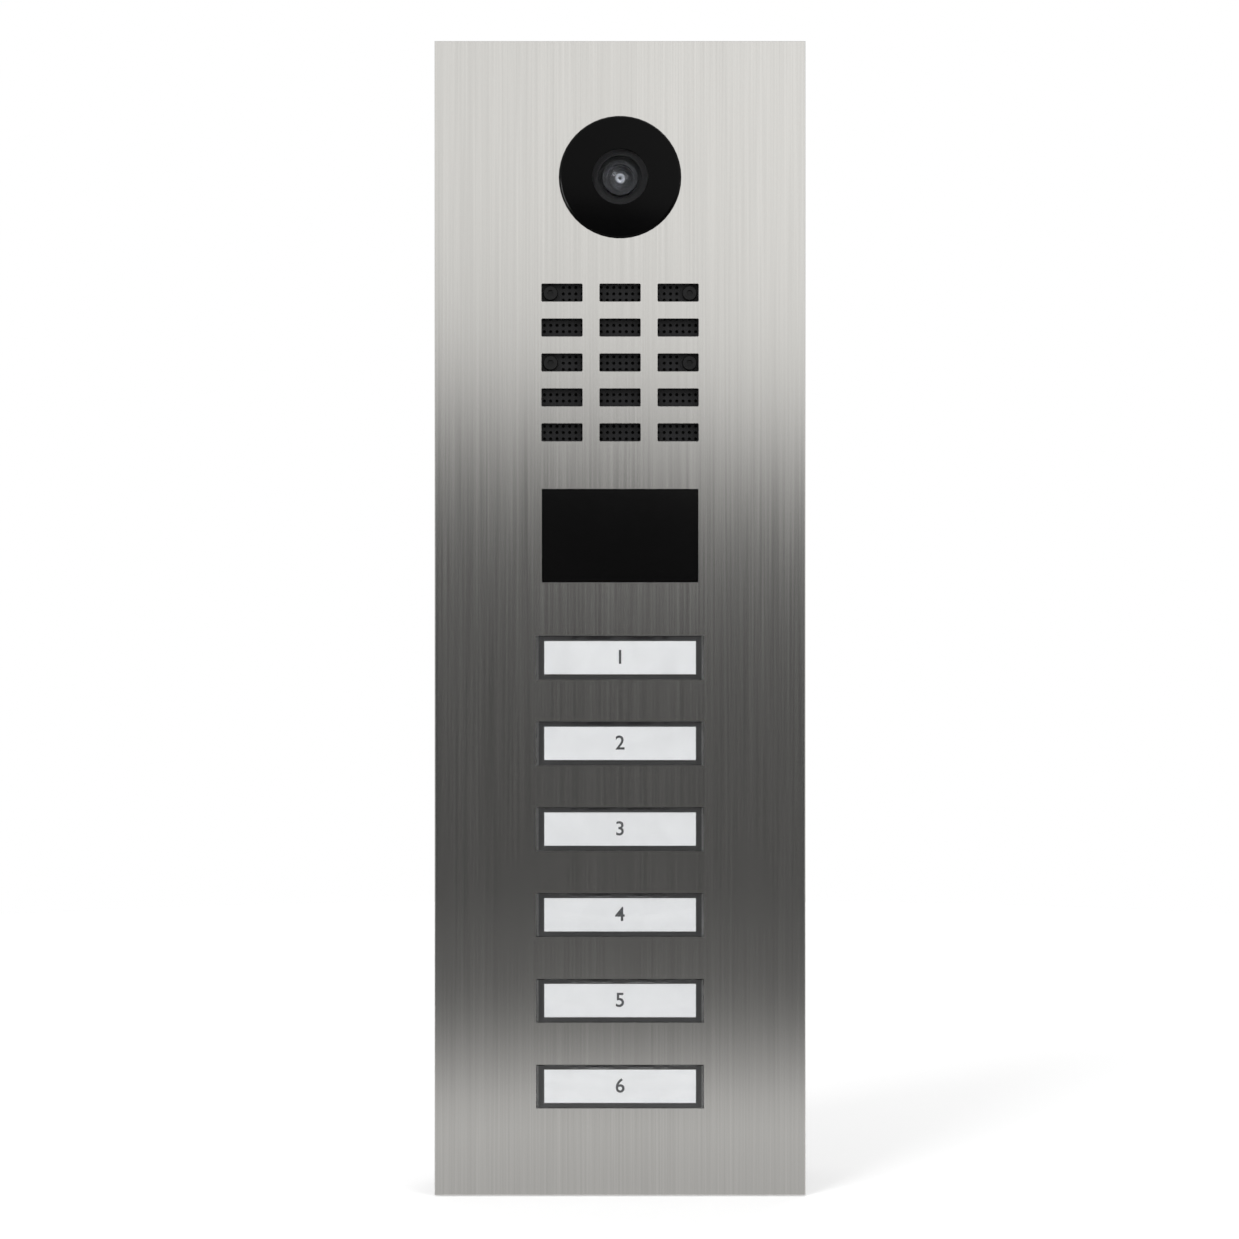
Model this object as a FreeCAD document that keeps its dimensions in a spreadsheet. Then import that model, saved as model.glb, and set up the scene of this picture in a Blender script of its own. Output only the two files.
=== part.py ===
"""Flush-mounted door intercom station, built as a parametric FreeCAD document.

Frame, in millimetres: +Z is up, the front faces -Y and the origin is the centre of the back box's
rear face. "out" is the distance from that face towards the visitor, so y = -out everywhere.
"""
import FreeCAD, Part
import math
import os
import re

import Sketcher
from FreeCAD import Placement, Rotation, Vector

# ---------------------------------------------------------------- driving sizes
SIZES = {
    # face plate
    "plate_width": 135,
    "plate_thickness": 3,
    "plate_chamfer": 0.3,
    "bottom_margin": 39.6,
    "stud_radius": 2,
    "stud_length": 8,
    "stud_inset": 9,
    "stud_drop": 34,
    "stud_clearance": 0.2,
    "nut_radius": 4.04,
    "nut_thickness": 3.2,
    # back box and what seals it
    "plate_overhang": 8,
    "rim_lip": 3,
    "rim_thickness": 2.5,
    "box_depth": 50,
    "box_wall": 2.5,
    "box_floor": 3.5,
    "anchor_thickness": 2,
    "anchor_pitch": 62,
    "knockout_radius": 10,
    "knockout_depth": 1.2,
    "knockout_spacing": 50,
    "fixing_spacing_x": 80,
    "fixing_spacing_z": 300,
    "fixing_radius": 2.6,
    "fixing_pad_radius": 6,
    "fixing_pad_thickness": 1.5,
    "gasket_thickness": 1.5,
    "gasket_width": 6,
    "entry_spacing": 44,
    "entry_drop": 270,
    "entry_radius": 10,
    "entry_recess": 1.5,
    "grommet_flange": 2,
    "grommet_bore_radius": 4,
    # chassis and rear cover
    "chassis_gap_x": 2,
    "chassis_gap_z": 2.5,
    "chassis_depth": 29.5,
    "chassis_wall": 2,
    "skin_thickness": 3,
    "seat_depth": 2,
    "seat_clearance": 0.3,
    "cover_thickness": 2,
    "corner_boss_radius": 4,
    "corner_boss_overlap": 1,
    "post_radius": 3,
    "clip_thickness": 0.5,
    "clip_length": 16,
    "clip_height": 12,
    "clip_spacing": 200,
    # screws that hold boards and the cover
    "screw_radius": 1.25,
    "screw_head_radius": 2.3,
    "screw_head_height": 1.4,
    "screw_bite": 6,
    "guide_screw_bite": 4,
    "screw_tip_gap": 1,
    "thread_gap": 0.05,
    # camera
    "camera_drop": 49.6,
    "camera_radius": 22,
    "camera_gap": 0.3,
    "camera_rim": 1,
    "camera_crown": 1.2,
    "camera_edge_round": 0.8,
    "camera_flange": 3,
    "camera_wall": 2.5,
    "camera_roof": 2.7,
    "camera_lip": 2.5,
    "seal_thickness": 0.5,
    "camera_window_radius": 10.1,
    "camera_window_thickness": 1.6,
    "camera_window_inset": 0.35,
    "bond_gap": 0.05,
    "bezel_width": 2,
    "bezel_thickness": 1.1,
    "barrel_radius": 6.3,
    "barrel_thread_radius": 6,
    "barrel_length": 14.4,
    "barrel_flange_thickness": 3,
    "barrel_setback": 0.15,
    "lens_radius": 4.85,
    "lens_pocket_depth": 2.9,
    "lens_crown": 1.4,
    "camera_board_setback": 15.9,
    "camera_post_radius": 2.5,
    "camera_post_inset_x": 1.5,
    "camera_post_inset_z": 4.5,
    "camera_board_margin": 4,
    "board_thickness": 1.6,
    "holder_width": 20,
    "holder_base": 6,
    "holder_tube_radius": 8.5,
    "holder_tube_length": 4.4,
    "sensor_width": 7.5,
    "sensor_thickness": 1,
    "sensor_room": 0.4,
    "infrared_board_bore": 10.5,
    "infrared_board_overlap": 1,
    "infrared_board_thickness": 1,
    "infrared_led_margin": 3.5,
    "infrared_led_radius": 1.5,
    "infrared_led_length": 2,
    # loudspeaker, its grille and the microphone
    "grille_drop": 117,
    "slot_width": 15,
    "slot_height": 6.6,
    "slot_round": 0.5,
    "slot_pitch_x": 21.13,
    "slot_pitch_z": 12.71,
    "baffle_margin": 2.4,
    "baffle_thickness": 1.6,
    "baffle_hole_radius": 0.58,
    "baffle_hole_pitch": 2.3,
    "speaker_screw_radius": 1.5,
    "speaker_screw_clearance": 0.2,
    "speaker_screw_offset": 4.22,
    "speaker_screw_head_radius": 2.75,
    "speaker_screw_head_height": 1.7,
    "speaker_screw_length": 7.5,
    "socket_radius": 1.2,
    "socket_depth": 1,
    "speaker_radius": 18,
    "speaker_frame_margin_x": 3.65,
    "speaker_frame_margin_z": 5.8,
    "speaker_frame_thickness": 1.5,
    "speaker_boss_radius": 2.8,
    "basket_wall": 1,
    "basket_depth": 10,
    "basket_rear_radius": 13.5,
    "magnet_radius": 13,
    "magnet_thickness": 6,
    "cone_thickness": 0.5,
    "cone_throat_radius": 7,
    "microphone_radius": 6.5,
    "microphone_length": 6,
    "microphone_port_radius": 1,
    "microphone_port_depth": 2,
    "microphone_hole_radius": 3.5,
    # reader window
    "window_drop": 180,
    "window_width": 57,
    "window_height": 34,
    "window_gap": 0.3,
    "window_flange": 2.5,
    "window_flange_thickness": 1.5,
    "window_setback": 0.4,
    "window_step_inset": 2,
    "window_step": 0.3,
    "window_lip": 3,
    "reader_board_thickness": 1.2,
    # call buttons
    "first_button_drop": 224.4,
    "button_pitch": 31.2,
    "button_width": 60.5,
    "button_height": 15.3,
    "button_gap": 0.3,
    "button_stands_out": 0.6,
    "button_window_thickness": 1.6,
    "button_flange": 1.5,
    "button_flange_thickness": 1.2,
    "button_rest_gap": 0.2,
    "flange_room": 0.5,
    "notch_depth": 0.9,
    "narrow_notch_width": 2.3,
    "narrow_notch_offset": 16.35,
    "wide_notch_width": 9.8,
    "wide_notch_offset": 7.6,
    "card_width": 55.1,
    "card_height": 12,
    "card_thickness": 0.4,
    "card_clearance": 0.2,
    "light_guide_thickness": 1.2,
    "light_guide_margin": 2.2,
    "stem_radius": 2,
    "stem_clearance": 1,
    "guide_pin_radius": 1.5,
    "guide_pin_fit": 0.1,
    "guide_pin_spacing": 48,
    "guide_pin_length": 8,
    # guide plate, button board and contact domes
    "guide_plate_width": 64,
    "guide_plate_margin": 3,
    "guide_plate_thickness": 2.5,
    "guide_plate_setback": 7,
    "guide_post_spacing": 58,
    "button_board_width": 63,
    "button_board_setback": 13.9,
    "dome_height": 5,
    "dome_foot_radius": 6,
    "dome_foot_thickness": 0.8,
    "dome_top_radius": 2.8,
    "dome_wall": 0.9,
    "button_led_width": 3,
    "button_led_thickness": 1.9,
    "button_led_spacing": 24,
    "light_hole_width": 9,
    "light_hole_height": 8,
    # main board and what it carries
    "main_board_gap": 1.5,
    "main_board_drop": 10,
    "main_board_height": 183,
    "main_board_setback": 24.4,
    "main_post_drop": 10,
    "capacitor_radius": 5,
    "capacitor_length": 12,
    "capacitor_x": 34,
    "capacitor_drop": 44,
    "capacitor_pitch": 14,
    "terminal_width": 40.6,
    "terminal_height": 10,
    "terminal_depth": 12,
    "terminal_spacing": 45,
    "terminal_drop": 165,
    "terminal_pitch": 5.08,
    "terminal_hole_radius": 1.5,
    "terminal_hole_depth": 7,
    "terminal_room": 1,
    "wire_room": 12,
    "jack_width": 16,
    "jack_height": 21,
    "jack_depth": 13.5,
    "jack_drop": 55,
    "jack_mouth_width": 11.8,
    "jack_mouth_depth": 8.5,
    "jack_mouth_length": 14,
    "plug_room": 30,
}
BUTTON_COUNT = 6
GRILLE_COLUMNS = 3
GRILLE_ROWS = 5
INFRARED_LED_COUNT = 8
TERMINAL_WAYS = 8

doc = FreeCAD.newDocument("door_intercom")
sheet = doc.addObject("Spreadsheet::Sheet", "sizes")
for row, (alias, number) in enumerate(SIZES.items(), start=1):
    sheet.set(f"A{row}", alias)
    sheet.set(f"B{row}", str(number))
    sheet.setAlias(f"B{row}", alias)
doc.recompute()

# ---------------------------------------------------------------- sizes that follow from them
PLATE_HEIGHT = f"(first_button_drop + {BUTTON_COUNT - 1} * button_pitch + bottom_margin)"
PLATE_TOP = f"({PLATE_HEIGHT} / 2)"
PLATE_BACK = "(box_depth + gasket_thickness)"
PLATE_FRONT = f"({PLATE_BACK} + plate_thickness)"

RIM_WIDTH = "(plate_width - 2 * plate_overhang)"
RIM_HEIGHT = f"({PLATE_HEIGHT} - 2 * plate_overhang)"
BOX_WIDTH = f"({RIM_WIDTH} - 2 * rim_lip)"
BOX_HEIGHT = f"({RIM_HEIGHT} - 2 * rim_lip)"
ROOM_WIDTH = f"({BOX_WIDTH} - 2 * box_wall)"
ROOM_HEIGHT = f"({BOX_HEIGHT} - 2 * box_wall)"

CHASSIS_WIDTH = f"({ROOM_WIDTH} - 2 * chassis_gap_x)"
CHASSIS_HEIGHT = f"({ROOM_HEIGHT} - 2 * chassis_gap_z)"
CHASSIS_BACK = f"({PLATE_BACK} - chassis_depth)"
INSIDE_WIDTH = f"({CHASSIS_WIDTH} - 2 * chassis_wall)"
INSIDE_HEIGHT = f"({CHASSIS_HEIGHT} - 2 * chassis_wall)"
INSIDE_TOP = f"({INSIDE_HEIGHT} / 2)"
SKIN_BACK = f"({PLATE_BACK} - skin_thickness)"
SEAT = f"({PLATE_BACK} - seat_depth)"

CAMERA_Z = f"({PLATE_TOP} - camera_drop)"
GRILLE_Z = f"({PLATE_TOP} - grille_drop)"
GRILLE_WIDTH = f"({GRILLE_COLUMNS - 1} * slot_pitch_x + slot_width)"
GRILLE_HEIGHT = f"({GRILLE_ROWS - 1} * slot_pitch_z + slot_height)"
BAFFLE_WIDTH = f"({GRILLE_WIDTH} + 2 * baffle_margin)"
BAFFLE_HEIGHT = f"({GRILLE_HEIGHT} + 2 * baffle_margin)"
SPEAKER_Z = f"({GRILLE_Z} + slot_pitch_z)"
MICROPHONE_Z = f"({GRILLE_Z} - 1.5 * slot_pitch_z)"
WINDOW_Z = f"({PLATE_TOP} - window_drop)"
FIRST_BUTTON_Z = f"({PLATE_TOP} - first_button_drop)"
BUTTONS_Z = f"({FIRST_BUTTON_Z} - {BUTTON_COUNT - 1} * button_pitch / 2)"

STUD_X = f"({CHASSIS_WIDTH} / 2 - stud_inset)"
STUD_Z = f"({CHASSIS_HEIGHT} / 2 - stud_drop)"
STUD_PLACES = [(f"{side} * {STUD_X}", f"{row} * {STUD_Z}") for side in (-1, 1) for row in (-1, 0, 1)]

sub_parts = []


# ---------------------------------------------------------------- helpers
def in_sheet(expression):
    """The expression with each size's name turned into its cell of the sheet."""
    def cell(match):
        return f"sizes.{match.group()}" if match.group() in SIZES else match.group()
    return re.sub(r"[a-z][a-z_]*", cell, expression)


def value(expression):
    """The present value of an expression, in millimetres."""
    return float(sheet.evalExpression(in_sheet(expression)))


def bind(thing, path, expression):
    thing.setExpression(path, in_sheet(expression))


def place(piece, x, z, out):
    bind(piece, "Placement.Base.x", x)
    bind(piece, "Placement.Base.y", f"-({out})")
    bind(piece, "Placement.Base.z", z)


def keep(piece, label):
    """Make this object a sub-part: its label names its file."""
    piece.Label = label
    sub_parts.append(piece)
    return piece


def block(x, z, out, width, height, depth):
    """A box centred on x and z, with its rear face at out."""
    piece = doc.addObject("Part::Box", "block")
    bind(piece, "Length", width)
    bind(piece, "Width", depth)
    bind(piece, "Height", height)
    place(piece, f"({x}) - ({width}) / 2", f"({z}) - ({height}) / 2", f"({out}) + ({depth})")
    return piece


def disc(x, z, out, radius, depth):
    """A cylinder pointing out of the wall, with its rear face at out."""
    piece = doc.addObject("Part::Cylinder", "disc")
    bind(piece, "Radius", radius)
    bind(piece, "Height", depth)
    piece.Placement = Placement(Vector(), Rotation(Vector(1, 0, 0), 90))
    place(piece, x, z, out)
    return piece


def hexagon(x, z, out, radius, depth):
    """A six-sided prism pointing out of the wall, with its rear face at out."""
    piece = doc.addObject("Part::Prism", "hexagon")
    piece.Polygon = 6
    bind(piece, "Circumradius", radius)
    bind(piece, "Height", depth)
    piece.Placement = Placement(Vector(), Rotation(Vector(1, 0, 0), 90))
    place(piece, x, z, out)
    return piece


def taper(x, z, out, rear_radius, front_radius, depth):
    """A cone frustum pointing out of the wall, with its rear face at out."""
    piece = doc.addObject("Part::Cone", "taper")
    bind(piece, "Radius1", rear_radius)
    bind(piece, "Radius2", front_radius)
    bind(piece, "Height", depth)
    piece.Placement = Placement(Vector(), Rotation(Vector(1, 0, 0), 90))
    place(piece, x, z, out)
    return piece


def group(pieces):
    """Separate solids held in one object."""
    together = doc.addObject("Part::Compound", "group")
    together.Links = pieces
    return together


def fuse(*pieces):
    joined = doc.addObject("Part::MultiFuse", "fused")
    joined.Shapes = list(pieces)
    joined.Refine = True
    return joined


def cut(base, *tools):
    result = doc.addObject("Part::Cut", "cut")
    result.Base = base
    result.Tool = tools[0] if len(tools) == 1 else group(list(tools))
    return result


def origin_feature(body, role):
    return next(item for item in body.Origin.OriginFeatures if item.Role == role)


def flat_sketch(body, name, plane, offset):
    """A sketch on one of the body's origin planes, moved along the plane's normal."""
    sketch = body.newObject("Sketcher::SketchObject", name)
    sketch.AttachmentSupport = [(origin_feature(body, plane), "")]
    sketch.MapMode = "FlatFace"
    bind(sketch, "AttachmentOffset.Base.z", offset)
    return sketch


def fix_distance(sketch, kind, geometry, point, expression):
    """Hold one point of the sketch at a distance from its origin, along x or y."""
    constraint = sketch.addConstraint(
        Sketcher.Constraint(kind, -1, 1, geometry, point, value(expression)))
    bind(sketch, f"Constraints[{constraint}]", expression)


def draw_outline(sketch, corners):
    """A closed outline of straight lines through corners given as expressions."""
    points = [Vector(value(across), value(up), 0) for across, up in corners]
    first = sketch.GeometryCount
    for index, point in enumerate(points):
        following = points[(index + 1) % len(points)]
        sketch.addGeometry(Part.LineSegment(point, following), False)
    for index in range(len(points)):
        following = first + (index + 1) % len(points)
        sketch.addConstraint(Sketcher.Constraint("Coincident", first + index, 2, following, 1))
    for index, (across, up) in enumerate(corners):
        fix_distance(sketch, "DistanceX", first + index, 1, across)
        fix_distance(sketch, "DistanceY", first + index, 1, up)


def rect(x, z, width, height):
    """A drawing of one rectangle, centred on x and z."""
    left, right = f"({x}) - ({width}) / 2", f"({x}) + ({width}) / 2"
    low, high = f"({z}) - ({height}) / 2", f"({z}) + ({height}) / 2"
    return lambda sketch: draw_outline(sketch, [(left, low), (right, low), (right, high), (left, high)])


def ring(x, z, radius):
    """A drawing of one circle."""
    def draw(sketch):
        circle = Part.Circle(Vector(value(x), value(z), 0), Vector(0, 0, 1), value(radius))
        geometry = sketch.addGeometry(circle, False)
        constraint = sketch.addConstraint(Sketcher.Constraint("Radius", geometry, value(radius)))
        bind(sketch, f"Constraints[{constraint}]", radius)
        fix_distance(sketch, "DistanceX", geometry, 3, x)
        fix_distance(sketch, "DistanceY", geometry, 3, z)
    return draw


def add(body, name, out, depth, *drawings):
    """Pad the drawings forwards from out."""
    sketch = flat_sketch(body, f"{name}_sketch", "XZ_Plane", out)
    for draw in drawings:
        draw(sketch)
    pad = body.newObject("PartDesign::Pad", name)
    pad.Profile = sketch
    bind(pad, "Length", depth)
    return pad


def remove(body, name, out, depth, *drawings):
    """Pocket the drawings away between out and out + depth."""
    sketch = flat_sketch(body, f"{name}_sketch", "XZ_Plane", f"({out}) + ({depth})")
    for draw in drawings:
        draw(sketch)
    pocket = body.newObject("PartDesign::Pocket", name)
    pocket.Profile = sketch
    bind(pocket, "Length", depth)
    return pocket


def grid(body, name, original, pitch_x, columns, pitch_z, rows):
    """Repeat a feature to the right and downwards."""
    pattern = body.newObject("PartDesign::LinearPattern", name)
    pattern.Originals = [original]
    pattern.Direction = (origin_feature(body, "Z_Axis"), [""])
    pattern.Reversed = True
    bind(pattern, "Length", f"{rows - 1} * {pitch_z}")
    pattern.Occurrences = rows
    if columns > 1:
        pattern.Direction2 = (origin_feature(body, "X_Axis"), [""])
        bind(pattern, "Length2", f"{columns - 1} * {pitch_x}")
        pattern.Occurrences2 = columns
    body.Tip = pattern
    return pattern


def new_body(name):
    return doc.addObject("PartDesign::Body", name)


def turned(x, z, profile):
    """A body turned about an axis that points out of the wall, from (radius, out) corners."""
    body = new_body("turned")
    sketch = flat_sketch(body, "profile", "XY_Plane", "0")
    draw_outline(sketch, [(radius, f"-({out})") for radius, out in profile])
    turn = body.newObject("PartDesign::Revolution", "Turn")
    turn.Profile = sketch
    turn.ReferenceAxis = (sketch, ["V_Axis"])
    turn.Angle = 360
    place(body, x, z, "0")
    return body


def screw(x, z, seat, length):
    """A pan-head screw driven in from behind: its head lies behind seat."""
    head = disc(x, z, f"({seat}) - screw_head_height", "screw_head_radius", "screw_head_height")
    shank = disc(x, z, seat, "screw_radius", length)
    recess = hexagon(x, z, f"({seat}) - screw_head_height", "socket_radius", "socket_depth")
    return cut(fuse(head, shank), recess)


# ---------------------------------------------------------------- back box
# Moulded box that is set in the wall. Its rim lies on the wall, hidden by the plate's overhang.
ENTRY_PLACES = [(f"{side} * entry_spacing / 2", f"{PLATE_TOP} - entry_drop") for side in (-1, 1)]
FIXING_PLACES = [(f"{side} * fixing_spacing_x / 2", f"{row} * fixing_spacing_z / 2")
                 for side in (-1, 1) for row in (-1, 1)]

back_box = keep(new_body("back_box"), "back_box")
add(back_box, "Case", "0", "box_depth", rect("0", "0", BOX_WIDTH, BOX_HEIGHT))
add(back_box, "Rim", "box_depth - rim_thickness", "rim_thickness",
    rect("0", "0", RIM_WIDTH, RIM_HEIGHT))
remove(back_box, "Room", "box_floor", "box_depth - box_floor",
       rect("0", "0", ROOM_WIDTH, ROOM_HEIGHT))
add(back_box, "MortarAnchors", "box_floor", "box_depth - box_floor - rim_thickness",
    *[rect(f"{side} * ({BOX_WIDTH} + rim_lip) / 2", f"{row} * anchor_pitch", "rim_lip", "anchor_thickness")
      for side in (-1, 1) for row in (-2, -1, 0, 1, 2)])
add(back_box, "FixingPads", "box_floor", "fixing_pad_thickness",
    *[ring(x, z, "fixing_pad_radius") for x, z in FIXING_PLACES])
remove(back_box, "FixingHoles", "0", "box_floor + fixing_pad_thickness",
       *[ring(x, z, "fixing_radius") for x, z in FIXING_PLACES])
remove(back_box, "EntryHoles", "0", "box_floor", *[ring(x, z, "entry_radius") for x, z in ENTRY_PLACES])
remove(back_box, "EntryRecesses", "0", "entry_recess",
       *[ring(x, z, "entry_radius + grommet_flange + bond_gap") for x, z in ENTRY_PLACES])
for end, side in (("Top", 1), ("Bottom", -1)):
    knockout_sketch = flat_sketch(back_box, f"{end}Knockouts_sketch", "XY_Plane",
                                  f"{side} * {BOX_HEIGHT} / 2")
    for half in (-1, 1):
        draw_knockout = ring(f"{half} * knockout_spacing / 2", "-(box_depth - rim_thickness) / 2",
                             "knockout_radius")
        draw_knockout(knockout_sketch)
    knockouts = back_box.newObject("PartDesign::Pocket", f"{end}Knockouts")
    knockouts.Profile = knockout_sketch
    knockouts.Reversed = side < 0
    bind(knockouts, "Length", "knockout_depth")

# Rubber grommets that the supply and network cables come in through.
grommets = []
for entry_x, entry_z in ENTRY_PLACES:
    grommets.append(turned(entry_x, entry_z, [
        ("grommet_bore_radius", "bond_gap"),
        ("entry_radius + grommet_flange", "bond_gap"),
        ("entry_radius + grommet_flange", "entry_recess"),
        ("entry_radius", "entry_recess"),
        ("entry_radius", "box_floor"),
        ("entry_radius + grommet_flange", "box_floor"),
        ("entry_radius + grommet_flange / 2", "box_floor + entry_recess"),
        ("grommet_bore_radius", "box_floor + entry_recess"),
    ]))
keep(group(grommets), "cable_grommets")

# Rubber frame squeezed between the box's rim and the plate.
keep(cut(block("0", "0", "box_depth", RIM_WIDTH, RIM_HEIGHT, "gasket_thickness"),
         block("0", "0", "box_depth", f"{RIM_WIDTH} - 2 * gasket_width",
               f"{RIM_HEIGHT} - 2 * gasket_width", "gasket_thickness")), "plate_gasket")

# ---------------------------------------------------------------- face plate
# One sheet of stainless steel with its openings, and six studs welded on behind.
face_plate = keep(new_body("face_plate"), "face_plate")
sheet_pad = add(face_plate, "Sheet", PLATE_BACK, "plate_thickness",
                rect("0", "0", "plate_width", PLATE_HEIGHT))
doc.recompute()
front_face = min(range(len(sheet_pad.Shape.Faces)), key=lambda i: sheet_pad.Shape.Faces[i].CenterOfMass.y)
edge_chamfer = face_plate.newObject("PartDesign::Chamfer", "FrontEdge")
edge_chamfer.Base = (sheet_pad, [f"Face{front_face + 1}"])
bind(edge_chamfer, "Size", "plate_chamfer")
remove(face_plate, "CameraHole", PLATE_BACK, "plate_thickness",
       ring("0", CAMERA_Z, "camera_radius + camera_gap"))
remove(face_plate, "WindowOpening", PLATE_BACK, "plate_thickness",
       rect("0", WINDOW_Z, "window_width", "window_height"))
button_opening = remove(face_plate, "ButtonOpening", PLATE_BACK, "plate_thickness",
                        rect("0", FIRST_BUTTON_Z, "button_width + 2 * button_gap",
                             "button_height + 2 * button_gap"))
grid(face_plate, "ButtonOpenings", button_opening, "0", 1, "button_pitch", BUTTON_COUNT)
slot = remove(face_plate, "GrilleSlot", PLATE_BACK, "plate_thickness",
              rect(f"-{GRILLE_COLUMNS - 1} * slot_pitch_x / 2",
                   f"{GRILLE_Z} + {GRILLE_ROWS - 1} * slot_pitch_z / 2", "slot_width", "slot_height"))
grille = grid(face_plate, "Grille", slot, "slot_pitch_x", GRILLE_COLUMNS, "slot_pitch_z", GRILLE_ROWS)
doc.recompute()
grille_half_height = value(f"{GRILLE_HEIGHT} / 2")
slot_corners = []
for index, edge in enumerate(grille.Shape.Edges, start=1):
    box = edge.BoundBox
    runs_through = box.YLength > value("plate_thickness") / 2 and box.XLength + box.ZLength < 1e-6
    beside_grille = abs(box.Center.z - value(GRILLE_Z)) < grille_half_height + 0.1
    if runs_through and beside_grille and abs(box.Center.x) < value(BAFFLE_WIDTH) / 2:
        slot_corners.append(f"Edge{index}")
rounding = face_plate.newObject("PartDesign::Fillet", "SlotCorners")
rounding.Base = (grille, slot_corners)
bind(rounding, "Radius", "slot_round")
add(face_plate, "Studs", f"{PLATE_BACK} - stud_length", "stud_length",
    *[ring(x, z, "stud_radius") for x, z in STUD_PLACES])

# Hexagon nuts on the studs, behind the chassis.
keep(group([cut(hexagon(x, z, f"{SKIN_BACK} - nut_thickness", "nut_radius", "nut_thickness"),
                disc(x, z, f"{SKIN_BACK} - nut_thickness", "stud_radius + thread_gap", "nut_thickness"))
            for x, z in STUD_PLACES]), "plate_nuts")

# ---------------------------------------------------------------- chassis
# Moulded tray, open at the rear, that every module is fixed to. Its skin lies behind the plate.
CAMERA_BOARD_BACK = f"({SKIN_BACK} - camera_board_setback + board_thickness)"
CAMERA_BOARD_FRONT = f"({CAMERA_BOARD_BACK} + board_thickness)"
CAMERA_HOLE_RADIUS = "(camera_radius + camera_flange - camera_lip)"
CAMERA_POST_X = f"({CAMERA_HOLE_RADIUS} - camera_post_inset_x)"
CAMERA_POST_Z = f"({CAMERA_HOLE_RADIUS} - camera_post_inset_z)"
CAMERA_POSTS = [(f"{side} * {CAMERA_POST_X}", f"{CAMERA_Z} + {row} * {CAMERA_POST_Z}")
                for side in (-1, 1) for row in (-1, 1)]
MAIN_BOARD_WIDTH = f"({INSIDE_WIDTH} - 2 * main_board_gap)"
MAIN_BOARD_Z = f"({INSIDE_TOP} - main_board_drop - main_board_height / 2)"
MAIN_BOARD_FRONT = f"({PLATE_BACK} - main_board_setback)"
MAIN_BOARD_BACK = f"({MAIN_BOARD_FRONT} - board_thickness)"
MAIN_POSTS = [(f"{side} * ({MAIN_BOARD_WIDTH} / 2 - post_radius - main_board_gap)",
               f"{MAIN_BOARD_Z} + {row} * (main_board_height / 2 - main_post_drop)")
              for side in (-1, 1) for row in (-1, 0, 1)]
CORNER_POSTS = [(f"{side} * ({INSIDE_WIDTH} / 2 - corner_boss_radius + corner_boss_overlap)",
                 f"{row} * ({INSIDE_HEIGHT} / 2 - corner_boss_radius + corner_boss_overlap)")
                for side in (-1, 1) for row in (-1, 1)]
GUIDE_FRONT = f"({PLATE_BACK} - guide_plate_setback)"
GUIDE_BACK = f"({GUIDE_FRONT} - guide_plate_thickness)"
GUIDE_POSTS = [(f"{side} * guide_post_spacing / 2", f"{FIRST_BUTTON_Z} - ({gap} - 0.5) * button_pitch")
               for side in (-1, 1) for gap in range(1, BUTTON_COUNT, 2)]
SPEAKER_SCREWS = [(f"{side} * (slot_pitch_x + speaker_screw_offset)", f"{SPEAKER_Z} + {row} * slot_pitch_z")
                  for side in (-1, 1) for row in (-1, 1)]
OPENING_WIDTH = "(button_width + 2 * button_flange + 2 * flange_room)"
OPENING_HEIGHT = "(button_height + 2 * button_flange + 2 * flange_room)"
WINDOW_FLANGE_WIDTH = "(window_width + 2 * window_flange)"
WINDOW_FLANGE_HEIGHT = "(window_height + 2 * window_flange)"


def posts(name, places, tip, radius, bite):
    """Round posts behind the chassis skin that end at out = tip, each with a screw hole."""
    add(chassis, f"{name}Posts", tip, f"{SKIN_BACK} - {tip}", *[ring(x, z, radius) for x, z in places])
    remove(chassis, f"{name}ScrewHoles", tip, f"{bite} + screw_tip_gap",
           *[ring(x, z, "screw_radius + thread_gap") for x, z in places])


chassis = keep(new_body("chassis"), "chassis")
add(chassis, "Shell", CHASSIS_BACK, "chassis_depth", rect("0", "0", CHASSIS_WIDTH, CHASSIS_HEIGHT))
remove(chassis, "Inside", CHASSIS_BACK, "chassis_depth - skin_thickness",
       rect("0", "0", INSIDE_WIDTH, INSIDE_HEIGHT))
remove(chassis, "Seats", SEAT, "seat_depth",
       ring("0", CAMERA_Z, "camera_radius + camera_flange + seat_clearance"),
       rect("0", GRILLE_Z, f"{BAFFLE_WIDTH} + 2 * seat_clearance", f"{BAFFLE_HEIGHT} + 2 * seat_clearance"),
       rect("0", WINDOW_Z, f"{WINDOW_FLANGE_WIDTH} + 2 * seat_clearance",
            f"{WINDOW_FLANGE_HEIGHT} + 2 * seat_clearance"))
remove(chassis, "ModuleHoles", SKIN_BACK, "skin_thickness",
       ring("0", CAMERA_Z, CAMERA_HOLE_RADIUS),
       ring("0", SPEAKER_Z, "speaker_radius"),
       ring("0", MICROPHONE_Z, "microphone_hole_radius"),
       rect("0", WINDOW_Z, f"{WINDOW_FLANGE_WIDTH} - 2 * window_lip",
            f"{WINDOW_FLANGE_HEIGHT} - 2 * window_lip"))
button_hole = remove(chassis, "ButtonHole", SKIN_BACK, "skin_thickness",
                     rect("0", FIRST_BUTTON_Z, OPENING_WIDTH, OPENING_HEIGHT))
grid(chassis, "ButtonHoles", button_hole, "0", 1, "button_pitch", BUTTON_COUNT)
remove(chassis, "StudHoles", SKIN_BACK, "skin_thickness",
       *[ring(x, z, "stud_radius + stud_clearance") for x, z in STUD_PLACES])
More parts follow.
